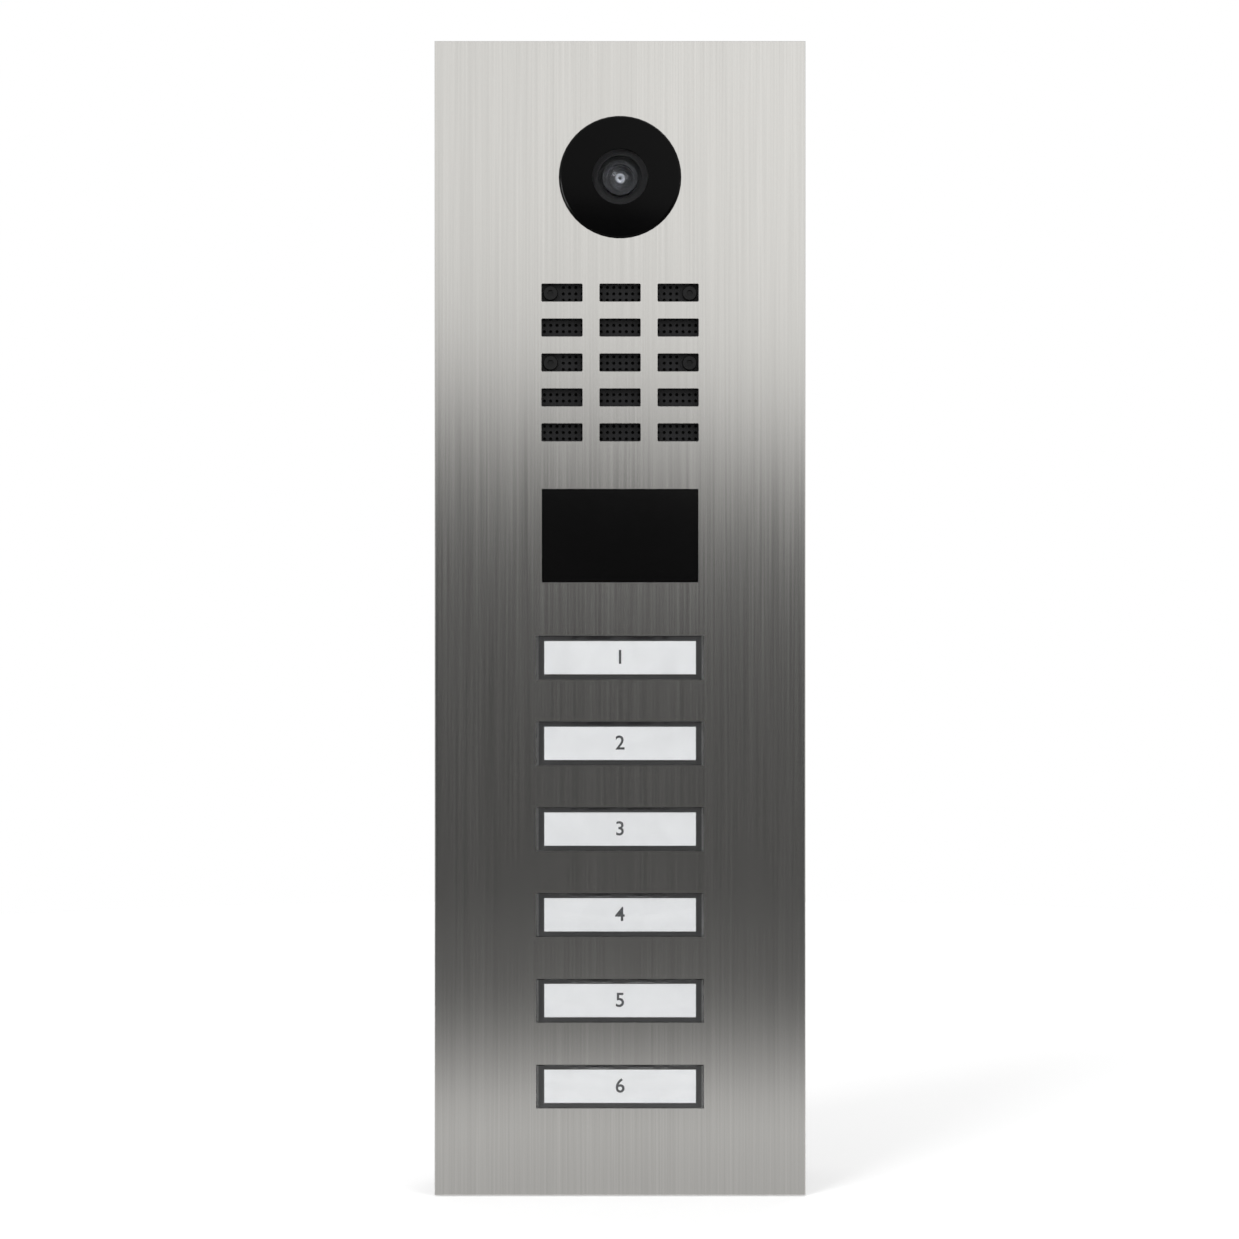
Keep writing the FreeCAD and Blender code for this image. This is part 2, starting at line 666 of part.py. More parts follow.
remove(chassis, "SpeakerScrewHoles", SKIN_BACK, "skin_thickness",
       *[ring(x, z, "speaker_screw_radius + speaker_screw_clearance") for x, z in SPEAKER_SCREWS])
posts("Camera", CAMERA_POSTS, CAMERA_BOARD_FRONT, "camera_post_radius", "screw_bite")
posts("MainBoard", MAIN_POSTS, MAIN_BOARD_FRONT, "post_radius", "screw_bite")
posts("Cover", CORNER_POSTS, CHASSIS_BACK, "corner_boss_radius", "screw_bite")
posts("Guide", GUIDE_POSTS, GUIDE_FRONT, "post_radius", "guide_screw_bite")

# Bent steel strips on the chassis's sides that grip the box.
clips = keep(new_body("clips"), "spring_clips")
clip_sketch = flat_sketch(clips, "clip_sketch", "XY_Plane", "(clip_spacing - clip_height) / 2")
for side in (-1, 1):
    foot = f"{side} * {CHASSIS_WIDTH} / 2"
    foot_top = f"{side} * ({CHASSIS_WIDTH} / 2 + clip_thickness)"
    crest = f"{side} * {ROOM_WIDTH} / 2"
    crest_under = f"{side} * ({ROOM_WIDTH} / 2 - clip_thickness)"
    clip_middle = f"-({CHASSIS_BACK} + chassis_depth / 2)"
    draw_outline(clip_sketch, [
        (foot, f"{clip_middle} - clip_length / 2"),
        (foot_top, f"{clip_middle} - clip_length / 2"),
        (crest, clip_middle),
        (foot_top, f"{clip_middle} + clip_length / 2"),
        (foot, f"{clip_middle} + clip_length / 2"),
        (crest_under, clip_middle),
    ])
clip_pad = clips.newObject("PartDesign::Pad", "Clips")
clip_pad.Profile = clip_sketch
bind(clip_pad, "Length", "clip_height")
grid(clips, "LowerClips", clip_pad, "0", 1, "clip_spacing", 2)

# ---------------------------------------------------------------- camera
# Black domed cover, pressed against the plate from behind through a rubber ring.
DOME_RIM = f"({PLATE_FRONT} + camera_rim)"
DOME_TOP = f"({DOME_RIM} + camera_crown)"
DOME_SPHERE = "((camera_radius ^ 2 + camera_crown ^ 2) / (2 * camera_crown))"
COVER_SEAT = f"({PLATE_BACK} - seal_thickness)"
COVER_ROOF = f"({DOME_TOP} - camera_roof)"

dome_ball = doc.addObject("Part::Sphere", "dome_ball")
bind(dome_ball, "Radius", DOME_SPHERE)
place(dome_ball, "0", CAMERA_Z, f"{DOME_TOP} - {DOME_SPHERE}")
dome = doc.addObject("Part::MultiCommon", "dome")
dome.Shapes = [disc("0", CAMERA_Z, COVER_SEAT, "camera_radius", f"{DOME_TOP} - {COVER_SEAT}"), dome_ball]
doc.recompute()
rim_edge = next(index for index, edge in enumerate(dome.Shape.Edges, start=1)
                if edge.Closed and abs(edge.BoundBox.YMin + value(DOME_RIM)) < 0.01)
rounded_dome = doc.addObject("Part::Fillet", "rounded_dome")
rounded_dome.Base = dome
rounded_dome.Edges = [(rim_edge, value("camera_edge_round"), value("camera_edge_round"))]
cover_flange = disc("0", CAMERA_Z, SEAT, "camera_radius + camera_flange", f"{COVER_SEAT} - {SEAT}")
keep(cut(fuse(rounded_dome, cover_flange),
         disc("0", CAMERA_Z, SEAT, "camera_radius - camera_wall", f"{COVER_ROOF} - {SEAT}"),
         disc("0", CAMERA_Z, COVER_ROOF, "camera_window_radius + bond_gap", "camera_roof")), "camera_cover")

# Clear glass bonded in the middle of the cover, and the grey ring behind it.
WINDOW_GLASS_BACK = f"({DOME_TOP} - camera_window_inset - camera_window_thickness)"
keep(disc("0", CAMERA_Z, WINDOW_GLASS_BACK, "camera_window_radius", "camera_window_thickness"),
     "camera_window")
BEZEL_BACK = f"({WINDOW_GLASS_BACK} - bezel_thickness)"
keep(cut(disc("0", CAMERA_Z, BEZEL_BACK, "camera_window_radius", "bezel_thickness"),
         disc("0", CAMERA_Z, BEZEL_BACK, "camera_window_radius - bezel_width", "bezel_thickness")),
     "camera_bezel")

# Threaded lens barrel with the front lens in it, screwed in a holder on the camera board.
BARREL_FRONT = f"({BEZEL_BACK} - barrel_setback)"
BARREL_BACK = f"({BARREL_FRONT} - barrel_length)"
LENS_BACK = f"({BARREL_FRONT} - lens_pocket_depth)"
keep(turned("0", CAMERA_Z, [
    ("0", BARREL_BACK),
    ("barrel_thread_radius", BARREL_BACK),
    ("barrel_thread_radius", f"{BARREL_FRONT} - barrel_flange_thickness"),
    ("barrel_radius", f"{BARREL_FRONT} - barrel_flange_thickness"),
    ("barrel_radius", BARREL_FRONT),
    ("lens_radius + bond_gap", BARREL_FRONT),
    ("lens_radius + bond_gap", LENS_BACK),
    ("0", LENS_BACK),
]), "lens_barrel")
LENS_SPHERE = "((lens_radius ^ 2 + lens_crown ^ 2) / (2 * lens_crown))"
LENS_TOP = f"({BARREL_FRONT} - barrel_setback)"
lens_ball = doc.addObject("Part::Sphere", "lens_ball")
bind(lens_ball, "Radius", LENS_SPHERE)
place(lens_ball, "0", CAMERA_Z, f"{LENS_TOP} - {LENS_SPHERE}")
front_lens = keep(doc.addObject("Part::MultiCommon", "front_lens"), "front_lens")
front_lens.Shapes = [disc("0", CAMERA_Z, LENS_BACK, "lens_radius", f"{LENS_TOP} - {LENS_BACK}"), lens_ball]

holder_body = fuse(block("0", CAMERA_Z, CAMERA_BOARD_FRONT, "holder_width", "holder_width", "holder_base"),
                   disc("0", CAMERA_Z, f"{CAMERA_BOARD_FRONT} + holder_base", "holder_tube_radius",
                        "holder_tube_length"))
keep(cut(holder_body,
         fuse(block("0", CAMERA_Z, CAMERA_BOARD_FRONT, "sensor_width + 2 * sensor_room",
                    "sensor_width + 2 * sensor_room", "sensor_thickness + sensor_room"),
              disc("0", CAMERA_Z, CAMERA_BOARD_FRONT, "barrel_thread_radius + thread_gap",
                   "holder_base + holder_tube_length"))), "lens_holder")
keep(block("0", CAMERA_Z, CAMERA_BOARD_FRONT, "sensor_width", "sensor_width", "sensor_thickness"),
     "image_sensor")
keep(cut(block("0", CAMERA_Z, CAMERA_BOARD_BACK, f"2 * ({CAMERA_POST_X} + camera_board_margin)",
               f"2 * ({CAMERA_POST_Z} + camera_board_margin)", "board_thickness"),
         *[disc(x, z, CAMERA_BOARD_BACK, "screw_radius + stud_clearance", "board_thickness")
           for x, z in CAMERA_POSTS]), "camera_board")

# Ring board behind the cover with the infrared diodes on it.
INFRARED_BACK = f"({SKIN_BACK} - infrared_board_thickness)"
LED_CIRCLE = "(camera_radius - camera_wall - infrared_led_margin)"
keep(cut(disc("0", CAMERA_Z, INFRARED_BACK, f"{CAMERA_HOLE_RADIUS} + infrared_board_overlap",
              "infrared_board_thickness"),
         disc("0", CAMERA_Z, INFRARED_BACK, "infrared_board_bore", "infrared_board_thickness")),
     "infrared_board")
infrared_leds = []
for turn in range(INFRARED_LED_COUNT):
    angle = 2 * math.pi * turn / INFRARED_LED_COUNT
    infrared_leds.append(disc(f"{LED_CIRCLE} * {math.cos(angle):.6f}",
                              f"{CAMERA_Z} + {LED_CIRCLE} * {math.sin(angle):.6f}",
                              SKIN_BACK, "infrared_led_radius", "infrared_led_length"))
keep(group(infrared_leds), "infrared_leds")

# ---------------------------------------------------------------- loudspeaker and microphone
# Perforated black baffle behind the slots. The holes stand in a square grid.
BAFFLE_BACK = f"({PLATE_BACK} - baffle_thickness)"


def perforated_baffle():
    """The baffle's shape: a sheet pierced by the grid and by the four screw holes."""
    half_width = value(BAFFLE_WIDTH) / 2
    half_height = value(BAFFLE_HEIGHT) / 2
    pitch = value("baffle_hole_pitch")
    columns = int(half_width / pitch - 1)
    lines = int(half_height / pitch - 1)
    screw_hole = value("speaker_screw_radius + speaker_screw_clearance")
    head = value("speaker_screw_head_radius")
    screw_points = [Vector(value(x), 0, value(z)) for x, z in SPEAKER_SCREWS]
    corners = [Vector(right * half_width, 0, up * half_height)
               for right, up in ((-1, -1), (1, -1), (1, 1), (-1, 1))]
    centre = Vector(0, 0, value(GRILLE_Z))
    outline = Part.makePolygon([corner + centre for corner in corners + corners[:1]])
    holes = [Part.Wire(Part.makeCircle(screw_hole, point, Vector(0, 1, 0))) for point in screw_points]
    for column in range(-columns, columns + 1):
        for line in range(-lines, lines + 1):
            point = centre + Vector(column * pitch, 0, line * pitch)
            if all((point - screw_point).Length > head + pitch / 2 for screw_point in screw_points):
                holes.append(Part.Wire(Part.makeCircle(value("baffle_hole_radius"), point, Vector(0, 1, 0))))
    face = Part.makeFace([outline] + holes, "Part::FaceMakerBullseye")
    return face.extrude(Vector(0, -value("baffle_thickness"), 0))


baffle = keep(doc.addObject("Part::Feature", "speaker_baffle"), "speaker_baffle")
baffle.Shape = perforated_baffle()
place(baffle, "0", "0", BAFFLE_BACK)

# Acoustic cloth between the baffle and the chassis.
keep(cut(block("0", GRILLE_Z, SEAT, BAFFLE_WIDTH, BAFFLE_HEIGHT, f"{BAFFLE_BACK} - {SEAT}"),
         *[disc(x, z, SEAT, "speaker_screw_radius + speaker_screw_clearance", f"{BAFFLE_BACK} - {SEAT}")
           for x, z in SPEAKER_SCREWS]), "acoustic_cloth")

# Speaker frame behind the chassis skin, its basket, cone and magnet.
FRAME_BACK = f"({SKIN_BACK} - speaker_frame_thickness)"
BASKET_BACK = f"({FRAME_BACK} - basket_depth)"
frame_solid = fuse(
    block("0", SPEAKER_Z, FRAME_BACK, "2 * (slot_pitch_x + speaker_screw_offset + speaker_frame_margin_x)",
          "2 * (slot_pitch_z + speaker_frame_margin_z)", "speaker_frame_thickness"),
    taper("0", SPEAKER_Z, BASKET_BACK, "basket_rear_radius", "speaker_radius + basket_wall", "basket_depth"),
    *[disc(x, z, f"{PLATE_BACK} - speaker_screw_length - basket_wall", "speaker_boss_radius",
           f"speaker_screw_length + basket_wall - skin_thickness - speaker_frame_thickness / 2")
      for x, z in SPEAKER_SCREWS])
frame_hollow = fuse(
    taper("0", SPEAKER_Z, f"{BASKET_BACK} + basket_wall", "basket_rear_radius - basket_wall",
          "speaker_radius", "basket_depth - basket_wall"),
    disc("0", SPEAKER_Z, FRAME_BACK, "speaker_radius", "speaker_frame_thickness"))
keep(cut(frame_solid, frame_hollow,
         *[disc(x, z, f"{PLATE_BACK} - speaker_screw_length", "speaker_screw_radius + thread_gap",
                "speaker_screw_length - skin_thickness") for x, z in SPEAKER_SCREWS]), "speaker_frame")
keep(turned("0", SPEAKER_Z, [
    ("0", f"{BASKET_BACK} + 3 * basket_wall"),
    ("cone_throat_radius", f"{BASKET_BACK} + 3 * basket_wall"),
    ("speaker_radius - 2 * cone_thickness", f"{SKIN_BACK} - 2 * cone_thickness"),
    ("speaker_radius", f"{SKIN_BACK} - 2 * cone_thickness"),
    ("speaker_radius", f"{SKIN_BACK} - cone_thickness"),
    ("speaker_radius - 3 * cone_thickness", f"{SKIN_BACK} - cone_thickness"),
    ("cone_throat_radius", f"{BASKET_BACK} + 3 * basket_wall + 2 * cone_thickness"),
    ("cone_throat_radius / 2", f"{BASKET_BACK} + 3 * basket_wall + 5 * cone_thickness"),
    ("0", f"{BASKET_BACK} + 3 * basket_wall + 6 * cone_thickness"),
]), "speaker_cone")
keep(disc("0", SPEAKER_Z, f"{BASKET_BACK} - magnet_thickness", "magnet_radius", "magnet_thickness"),
     "speaker_magnet")

# Black button-head screws, seen through the grille, that clamp baffle, cloth, chassis and speaker.
speaker_screws = []
for screw_x, screw_z in SPEAKER_SCREWS:
    head = taper(screw_x, screw_z, PLATE_BACK, "speaker_screw_head_radius",
                 "speaker_screw_head_radius - plate_chamfer", "speaker_screw_head_height")
    shank = disc(screw_x, screw_z, f"{PLATE_BACK} - speaker_screw_length", "speaker_screw_radius",
                 "speaker_screw_length")
    recess = hexagon(screw_x, screw_z, f"{PLATE_BACK} + speaker_screw_head_height - socket_depth",
                     "socket_radius", "socket_depth")
    speaker_screws.append(cut(fuse(head, shank), recess))
keep(group(speaker_screws), "speaker_screws")

# Microphone capsule in its rubber boot, with the port towards the baffle.
keep(turned("0", MICROPHONE_Z, [
    ("0", f"{SKIN_BACK} - microphone_length"),
    ("microphone_radius", f"{SKIN_BACK} - microphone_length"),
    ("microphone_radius", SKIN_BACK),
    ("microphone_port_radius", SKIN_BACK),
    ("microphone_port_radius", f"{SKIN_BACK} - microphone_port_depth"),
    ("0", f"{SKIN_BACK} - microphone_port_depth"),
]), "microphone")

# ---------------------------------------------------------------- reader window
# Black pane with a raised middle, held behind the plate by its flange.
window_pane = keep(new_body("window_pane"), "window_pane")
WINDOW_PANE_FRONT = f"({PLATE_FRONT} - window_setback)"
add(window_pane, "Flange", SEAT, "window_flange_thickness",
    rect("0", WINDOW_Z, WINDOW_FLANGE_WIDTH, WINDOW_FLANGE_HEIGHT))
add(window_pane, "Pane", f"{SEAT} + window_flange_thickness",
    f"{WINDOW_PANE_FRONT} - ({SEAT} + window_flange_thickness)",
    rect("0", WINDOW_Z, "window_width - 2 * window_gap", "window_height - 2 * window_gap"))
add(window_pane, "Step", WINDOW_PANE_FRONT, "window_step",
    rect("0", WINDOW_Z, "window_width - 2 * window_step_inset", "window_height - 2 * window_step_inset"))
keep(block("0", WINDOW_Z, f"{SKIN_BACK} - reader_board_thickness",
           f"{WINDOW_FLANGE_WIDTH} - window_flange", f"{WINDOW_FLANGE_HEIGHT} - window_flange",
           "reader_board_thickness"), "reader_board")

# Rubber ring under the camera cover's flange and rubber frame under the pane's.
keep(group([
    cut(disc("0", CAMERA_Z, COVER_SEAT, "camera_radius + camera_flange", "seal_thickness"),
        disc("0", CAMERA_Z, COVER_SEAT, "camera_radius + camera_gap", "seal_thickness")),
    cut(block("0", WINDOW_Z, COVER_SEAT, WINDOW_FLANGE_WIDTH, WINDOW_FLANGE_HEIGHT, "seal_thickness"),
        block("0", WINDOW_Z, COVER_SEAT, "window_width", "window_height", "seal_thickness")),
]), "front_seals")

# ---------------------------------------------------------------- call buttons
# Each button is a clear cap over a name card, on a smoked light guide whose stem meets a rubber dome.
CAP_FRONT = f"({PLATE_FRONT} + button_stands_out)"
CAP_BACK = f"({PLATE_BACK} - button_rest_gap - button_flange_thickness)"
CARD_FRONT = f"({CAP_FRONT} - button_window_thickness)"
CARD_BACK = f"({CARD_FRONT} - card_thickness)"
LIGHT_GUIDE_BACK = f"({CAP_BACK} - light_guide_thickness)"
BUTTON_BOARD_FRONT = f"({PLATE_BACK} - button_board_setback)"
BUTTON_BOARD_BACK = f"({BUTTON_BOARD_FRONT} - board_thickness)"
DOME_TIP = f"({BUTTON_BOARD_FRONT} + dome_height)"
CAP_SHOULDER = f"({CAP_BACK} + button_flange_thickness)"


def button_cap():
    cap = new_body("button_cap")
    add(cap, "Flange", CAP_BACK, "button_flange_thickness",
        rect("0", "0", "button_width + 2 * button_flange", "button_height + 2 * button_flange"))
    add(cap, "Front", CAP_SHOULDER, f"{CAP_FRONT} - {CAP_SHOULDER}",
        rect("0", "0", "button_width", "button_height"))
    remove(cap, "CardRoom", CAP_BACK, f"{CARD_FRONT} - {CAP_BACK}",
           rect("0", "0", "card_width + 2 * card_clearance", "card_height + 2 * card_clearance"))
    remove(cap, "TopNotches", CAP_SHOULDER, f"{CAP_FRONT} - {CAP_SHOULDER}",
           *[rect(f"{side} * {shape}_notch_offset", "(button_height - notch_depth) / 2",
                  f"{shape}_notch_width", "notch_depth") for side in (-1, 1) for shape in ("narrow", "wide")])
    return cap


def light_guide():
    guide = new_body("light_guide")
    add(guide, "Plate", LIGHT_GUIDE_BACK, "light_guide_thickness",
        rect("0", "0", "card_width + 2 * light_guide_margin", "card_height + 2 * light_guide_margin"))
    add(guide, "Lens", CAP_BACK, f"{CARD_BACK} - {CAP_BACK}", rect("0", "0", "card_width", "card_height"))
    add(guide, "Stem", DOME_TIP, f"{LIGHT_GUIDE_BACK} - {DOME_TIP}", ring("0", "0", "stem_radius"))
    add(guide, "Pins", f"{LIGHT_GUIDE_BACK} - guide_pin_length", "guide_pin_length",
        *[ring(f"{side} * guide_pin_spacing / 2", "0", "guide_pin_radius") for side in (-1, 1)])
    return guide


def contact_dome():
    foot = BUTTON_BOARD_FRONT
    return turned("0", "0", [
        ("dome_foot_radius - 1.5 * dome_wall", foot),
        ("dome_foot_radius", foot),
        ("dome_foot_radius", f"{foot} + dome_foot_thickness"),
        ("dome_foot_radius - dome_wall", f"{foot} + dome_foot_thickness"),
        ("dome_top_radius", f"{foot} + dome_height - dome_wall"),
        ("dome_top_radius", f"{foot} + dome_height"),
        ("0", f"{foot} + dome_height"),
        ("0", f"{foot} + dome_height - 2 * dome_wall"),
        ("dome_top_radius - dome_wall", f"{foot} + dome_height - 2 * dome_wall"),
    ])


BUTTON_ROWS = [f"({FIRST_BUTTON_Z} - {index} * button_pitch)" for index in range(BUTTON_COUNT)]
for count, button_z in enumerate(BUTTON_ROWS, start=1):
    card = block("0", "0", CARD_BACK, "card_width", "card_height", "card_thickness")
    bind(card, "Placement.Base.z", f"{button_z} - card_height / 2")
    keep(card, f"button_{count}_card")
    for make, name in ((button_cap, "cap"), (light_guide, "light_guide"), (contact_dome, "dome")):
        piece = keep(make(), f"button_{count}_{name}")
        bind(piece, "Placement.Base.z", button_z)

# Guide plate that the light guides' pins slide in, with room for each stem and for the light.
GUIDE_HEIGHT = f"({BUTTON_COUNT - 1} * button_pitch + {OPENING_HEIGHT} + 2 * guide_plate_margin)"
guide_plate = keep(new_body("guide_plate"), "guide_plate")
add(guide_plate, "Plate", GUIDE_BACK, "guide_plate_thickness",
    rect("0", BUTTONS_Z, "guide_plate_width", GUIDE_HEIGHT))
add(guide_plate, "BoardPosts", BUTTON_BOARD_FRONT, f"{GUIDE_BACK} - {BUTTON_BOARD_FRONT}",
    *[ring(x, z, "post_radius") for x, z in GUIDE_POSTS])
remove(guide_plate, "ScrewHoles", BUTTON_BOARD_FRONT, f"{GUIDE_FRONT} - {BUTTON_BOARD_FRONT}",
       *[ring(x, z, "screw_radius + stud_clearance") for x, z in GUIDE_POSTS])
hole_drawings = [ring("0", FIRST_BUTTON_Z, "stem_radius + stem_clearance")]
for side in (-1, 1):
    hole_drawings.append(ring(f"{side} * guide_pin_spacing / 2", FIRST_BUTTON_Z,
                              "guide_pin_radius + guide_pin_fit"))
    hole_drawings.append(rect(f"{side} * button_led_spacing / 2", FIRST_BUTTON_Z,
                              "light_hole_width", "light_hole_height"))
button_holes = remove(guide_plate, "ButtonHoles", GUIDE_BACK, "guide_plate_thickness", *hole_drawings)
grid(guide_plate, "AllButtonHoles", button_holes, "0", 1, "button_pitch", BUTTON_COUNT)

# Button board with the backlight diodes.
keep(cut(block("0", BUTTONS_Z, BUTTON_BOARD_BACK, "button_board_width",
               f"{GUIDE_HEIGHT} - 2 * guide_plate_margin", "board_thickness"),
         *[disc(x, z, BUTTON_BOARD_BACK, "screw_radius + stud_clearance", "board_thickness")
           for x, z in GUIDE_POSTS]), "button_board")
keep(group([block(f"{side} * button_led_spacing / 2", z, BUTTON_BOARD_FRONT, "button_led_width",
                  "button_led_width", "button_led_thickness")
            for side in (-1, 1) for z in BUTTON_ROWS]), "button_leds")

# ---------------------------------------------------------------- main board
# Main board across the upper half, with its parts in front and its sockets behind.
keep(cut(block("0", MAIN_BOARD_Z, MAIN_BOARD_BACK, MAIN_BOARD_WIDTH, "main_board_height", "board_thickness"),
         *[disc(x, z, MAIN_BOARD_BACK, "screw_radius + stud_clearance", "board_thickness")
           for x, z in MAIN_POSTS]), "main_board")

# What stands on the board's front: (x, distance below the board's centre, width, height, depth).
BOARD_BLOCKS = {
    "processor": (-18, -20, 17, 17, 1.6),
    "memory": (4, -20, 11, 13, 1.2),
    "audio_chip": (22, -24, 9, 9, 1.2),
    "network_chip": (-20, -52, 9, 9, 1.2),
    "transformer": (8, -56, 16, 13, 2.2),
    "power_chip": (-26, 32, 8, 8, 1.2),
    "coil": (-26, 48, 12, 12, 6),
    "relay_one": (-6, 60, 15, 19, 14),
    "relay_two": (14, 60, 15, 19, 14),
}
CAPACITOR_COUNT = 3
board_parts = []
for part_x, down, width, height, depth in BOARD_BLOCKS.values():
    board_parts.append(block(str(part_x), f"{MAIN_BOARD_Z} - ({down})", MAIN_BOARD_FRONT,
                             str(width), str(height), str(depth)))
board_parts += [disc("capacitor_x", f"{MAIN_BOARD_Z} - capacitor_drop - {index} * capacitor_pitch",
                     MAIN_BOARD_FRONT, "capacitor_radius", "capacitor_length")
                for index in range(CAPACITOR_COUNT)]
keep(group(board_parts), "board_parts")

# Two screw-terminal blocks whose wire holes face down, and a network jack whose mouth faces down.
TERMINAL_Z = f"({PLATE_TOP} - terminal_drop)"
TERMINAL_BACK = f"({MAIN_BOARD_BACK} - terminal_depth)"
terminal_blocks = []
for side in (-1, 1):
    centre = f"{side} * terminal_spacing / 2"
    wire_holes = []
    for way in range(TERMINAL_WAYS):
        hole = doc.addObject("Part::Cylinder", "wire_hole")
        bind(hole, "Radius", "terminal_hole_radius")
        bind(hole, "Height", "terminal_hole_depth")
        place(hole, f"{centre} + ({way} - {(TERMINAL_WAYS - 1) / 2}) * terminal_pitch",
              f"{TERMINAL_Z} - terminal_height / 2", f"{MAIN_BOARD_BACK} - terminal_depth / 2")
        wire_holes.append(hole)
    terminal_blocks.append(cut(
        block(centre, TERMINAL_Z, TERMINAL_BACK, "terminal_width", "terminal_height", "terminal_depth"),
        *wire_holes))
keep(group(terminal_blocks), "terminal_blocks")

JACK_Z = f"({PLATE_TOP} - jack_drop)"
keep(cut(block("0", JACK_Z, f"{MAIN_BOARD_BACK} - jack_depth", "jack_width", "jack_height", "jack_depth"),
         block("0", f"{JACK_Z} - (jack_height - jack_mouth_length) / 2",
               f"{MAIN_BOARD_BACK} - (jack_depth + jack_mouth_depth) / 2",
               "jack_mouth_width", "jack_mouth_length", "jack_mouth_depth")), "network_jack")

# Flat cover over the chassis, open around the terminal blocks and the jack and below them, where
# the wires and the plug go in.
COVER_BACK = f"({CHASSIS_BACK} - cover_thickness)"
rear_cover = keep(new_body("rear_cover"), "rear_cover")
add(rear_cover, "Cover", COVER_BACK, "cover_thickness", rect("0", "0", CHASSIS_WIDTH, CHASSIS_HEIGHT))
remove(rear_cover, "SocketOpenings", COVER_BACK, "cover_thickness",
       *[rect(f"{side} * terminal_spacing / 2", f"{TERMINAL_Z} - wire_room / 2",
              "terminal_width + 2 * terminal_room", "terminal_height + 2 * terminal_room + wire_room")
         for side in (-1, 1)],
       rect("0", f"{JACK_Z} - plug_room / 2", "jack_width + 2 * terminal_room",
            "jack_height + 2 * terminal_room + plug_room"))
remove(rear_cover, "ScrewHoles", COVER_BACK, "cover_thickness",
       *[ring(x, z, "screw_radius + stud_clearance") for x, z in CORNER_POSTS])

# Pan-head screws: rear cover, main board, camera board, and button board with the guide plate.
screws = [screw(x, z, COVER_BACK, "cover_thickness + screw_bite") for x, z in CORNER_POSTS]
screws += [screw(x, z, MAIN_BOARD_BACK, "board_thickness + screw_bite") for x, z in MAIN_POSTS]
screws += [screw(x, z, CAMERA_BOARD_BACK, "board_thickness + screw_bite") for x, z in CAMERA_POSTS]
screws += [screw(x, z, BUTTON_BOARD_BACK, f"{GUIDE_FRONT} - {BUTTON_BOARD_BACK} + guide_screw_bite")
           for x, z in GUIDE_POSTS]
keep(group(screws), "assembly_screws")

# ---------------------------------------------------------------- check and write
doc.recompute()

for item in doc.Objects:
    if {"Invalid", "Error"} & set(item.State):
        raise RuntimeError(f"{item.Name} ({item.Label}) did not build: {item.State}")
    if item.TypeId in ("PartDesign::Pocket", "PartDesign::Groove"):
        if item.Shape.Volume >= item.BaseFeature.Shape.Volume - 1e-6:
            raise RuntimeError(f"{item.Name} cuts nothing")

os.makedirs("parts", exist_ok=True)
for piece in sub_parts:
    if piece.Shape.isNull() or not piece.Shape.isValid() or not piece.Shape.Solids:
        raise RuntimeError(f"{piece.Label} has no valid shape")
    piece.Shape.exportStep(os.path.join("parts", f"{piece.Label}.step"))
print(f"wrote {len(sub_parts)} sub-parts")
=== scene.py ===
import math

import bpy
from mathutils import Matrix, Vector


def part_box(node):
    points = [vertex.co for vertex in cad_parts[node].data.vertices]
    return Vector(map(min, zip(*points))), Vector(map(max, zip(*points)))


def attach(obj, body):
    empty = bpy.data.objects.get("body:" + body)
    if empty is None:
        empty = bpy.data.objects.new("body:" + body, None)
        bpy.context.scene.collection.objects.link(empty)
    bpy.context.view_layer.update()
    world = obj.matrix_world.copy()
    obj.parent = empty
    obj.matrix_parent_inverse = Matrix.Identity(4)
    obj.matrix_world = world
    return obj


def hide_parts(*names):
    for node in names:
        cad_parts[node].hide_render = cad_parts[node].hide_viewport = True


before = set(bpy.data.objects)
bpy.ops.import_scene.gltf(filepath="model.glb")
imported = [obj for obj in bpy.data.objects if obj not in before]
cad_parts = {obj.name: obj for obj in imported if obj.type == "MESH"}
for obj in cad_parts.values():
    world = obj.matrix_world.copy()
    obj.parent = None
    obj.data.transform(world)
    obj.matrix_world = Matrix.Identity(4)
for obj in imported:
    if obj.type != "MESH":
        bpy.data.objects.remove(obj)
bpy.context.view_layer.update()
bpy.ops.object.select_all(action="DESELECT")


# ---- Studio ----
# The panel stands on a white table top in a white room, seen straight from the front. A dark
# screen behind the camera shows only in what mirrors it. So does a card on the table that carries
# a painted pool of light, darker close to the plate as painted shadow of the panel.
plate_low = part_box("face_plate")[0]
CAMERA_DISTANCE = 1.0
VIEW_HEIGHT = 0.4507
SENSOR_WIDTH = 36.0
VIEW_CENTRE = (-0.0002, -0.0005)
TABLE_GAP = 0.0004
TABLE_RADIUS = 1.0
SCREEN_DISTANCE = 2.5
WHITE = (1.0, 1.0, 1.0, 1.0)
UPRIGHT = (math.pi / 2, 0, 0)


def add_node(tree, kind, inputs=None, **settings):
    node = tree.nodes.new(kind)
    for name, value in settings.items():
        setattr(node, name, value)
    for name, value in (inputs or {}).items():
        if isinstance(value, bpy.types.NodeSocket):
            tree.links.new(value, node.inputs[name])
        else:
            node.inputs[name].default_value = value
    return node


def empty_material(name):
    material = bpy.data.materials.new(name)
    material.use_nodes = True
    material.node_tree.nodes.clear()
    return material, material.node_tree


def seen_directly(tree):
    path = add_node(tree, "ShaderNodeLightPath")
    either = add_node(tree, "ShaderNodeMath", {0: path.outputs["Is Camera Ray"],
                                               1: path.outputs["Is Glossy Ray"]},
                      operation="MAXIMUM")
    return add_node(tree, "ShaderNodeMath", {0: either.outputs[0],
                                             1: path.outputs["Is Transmission Ray"]},
                    operation="MAXIMUM").outputs[0]


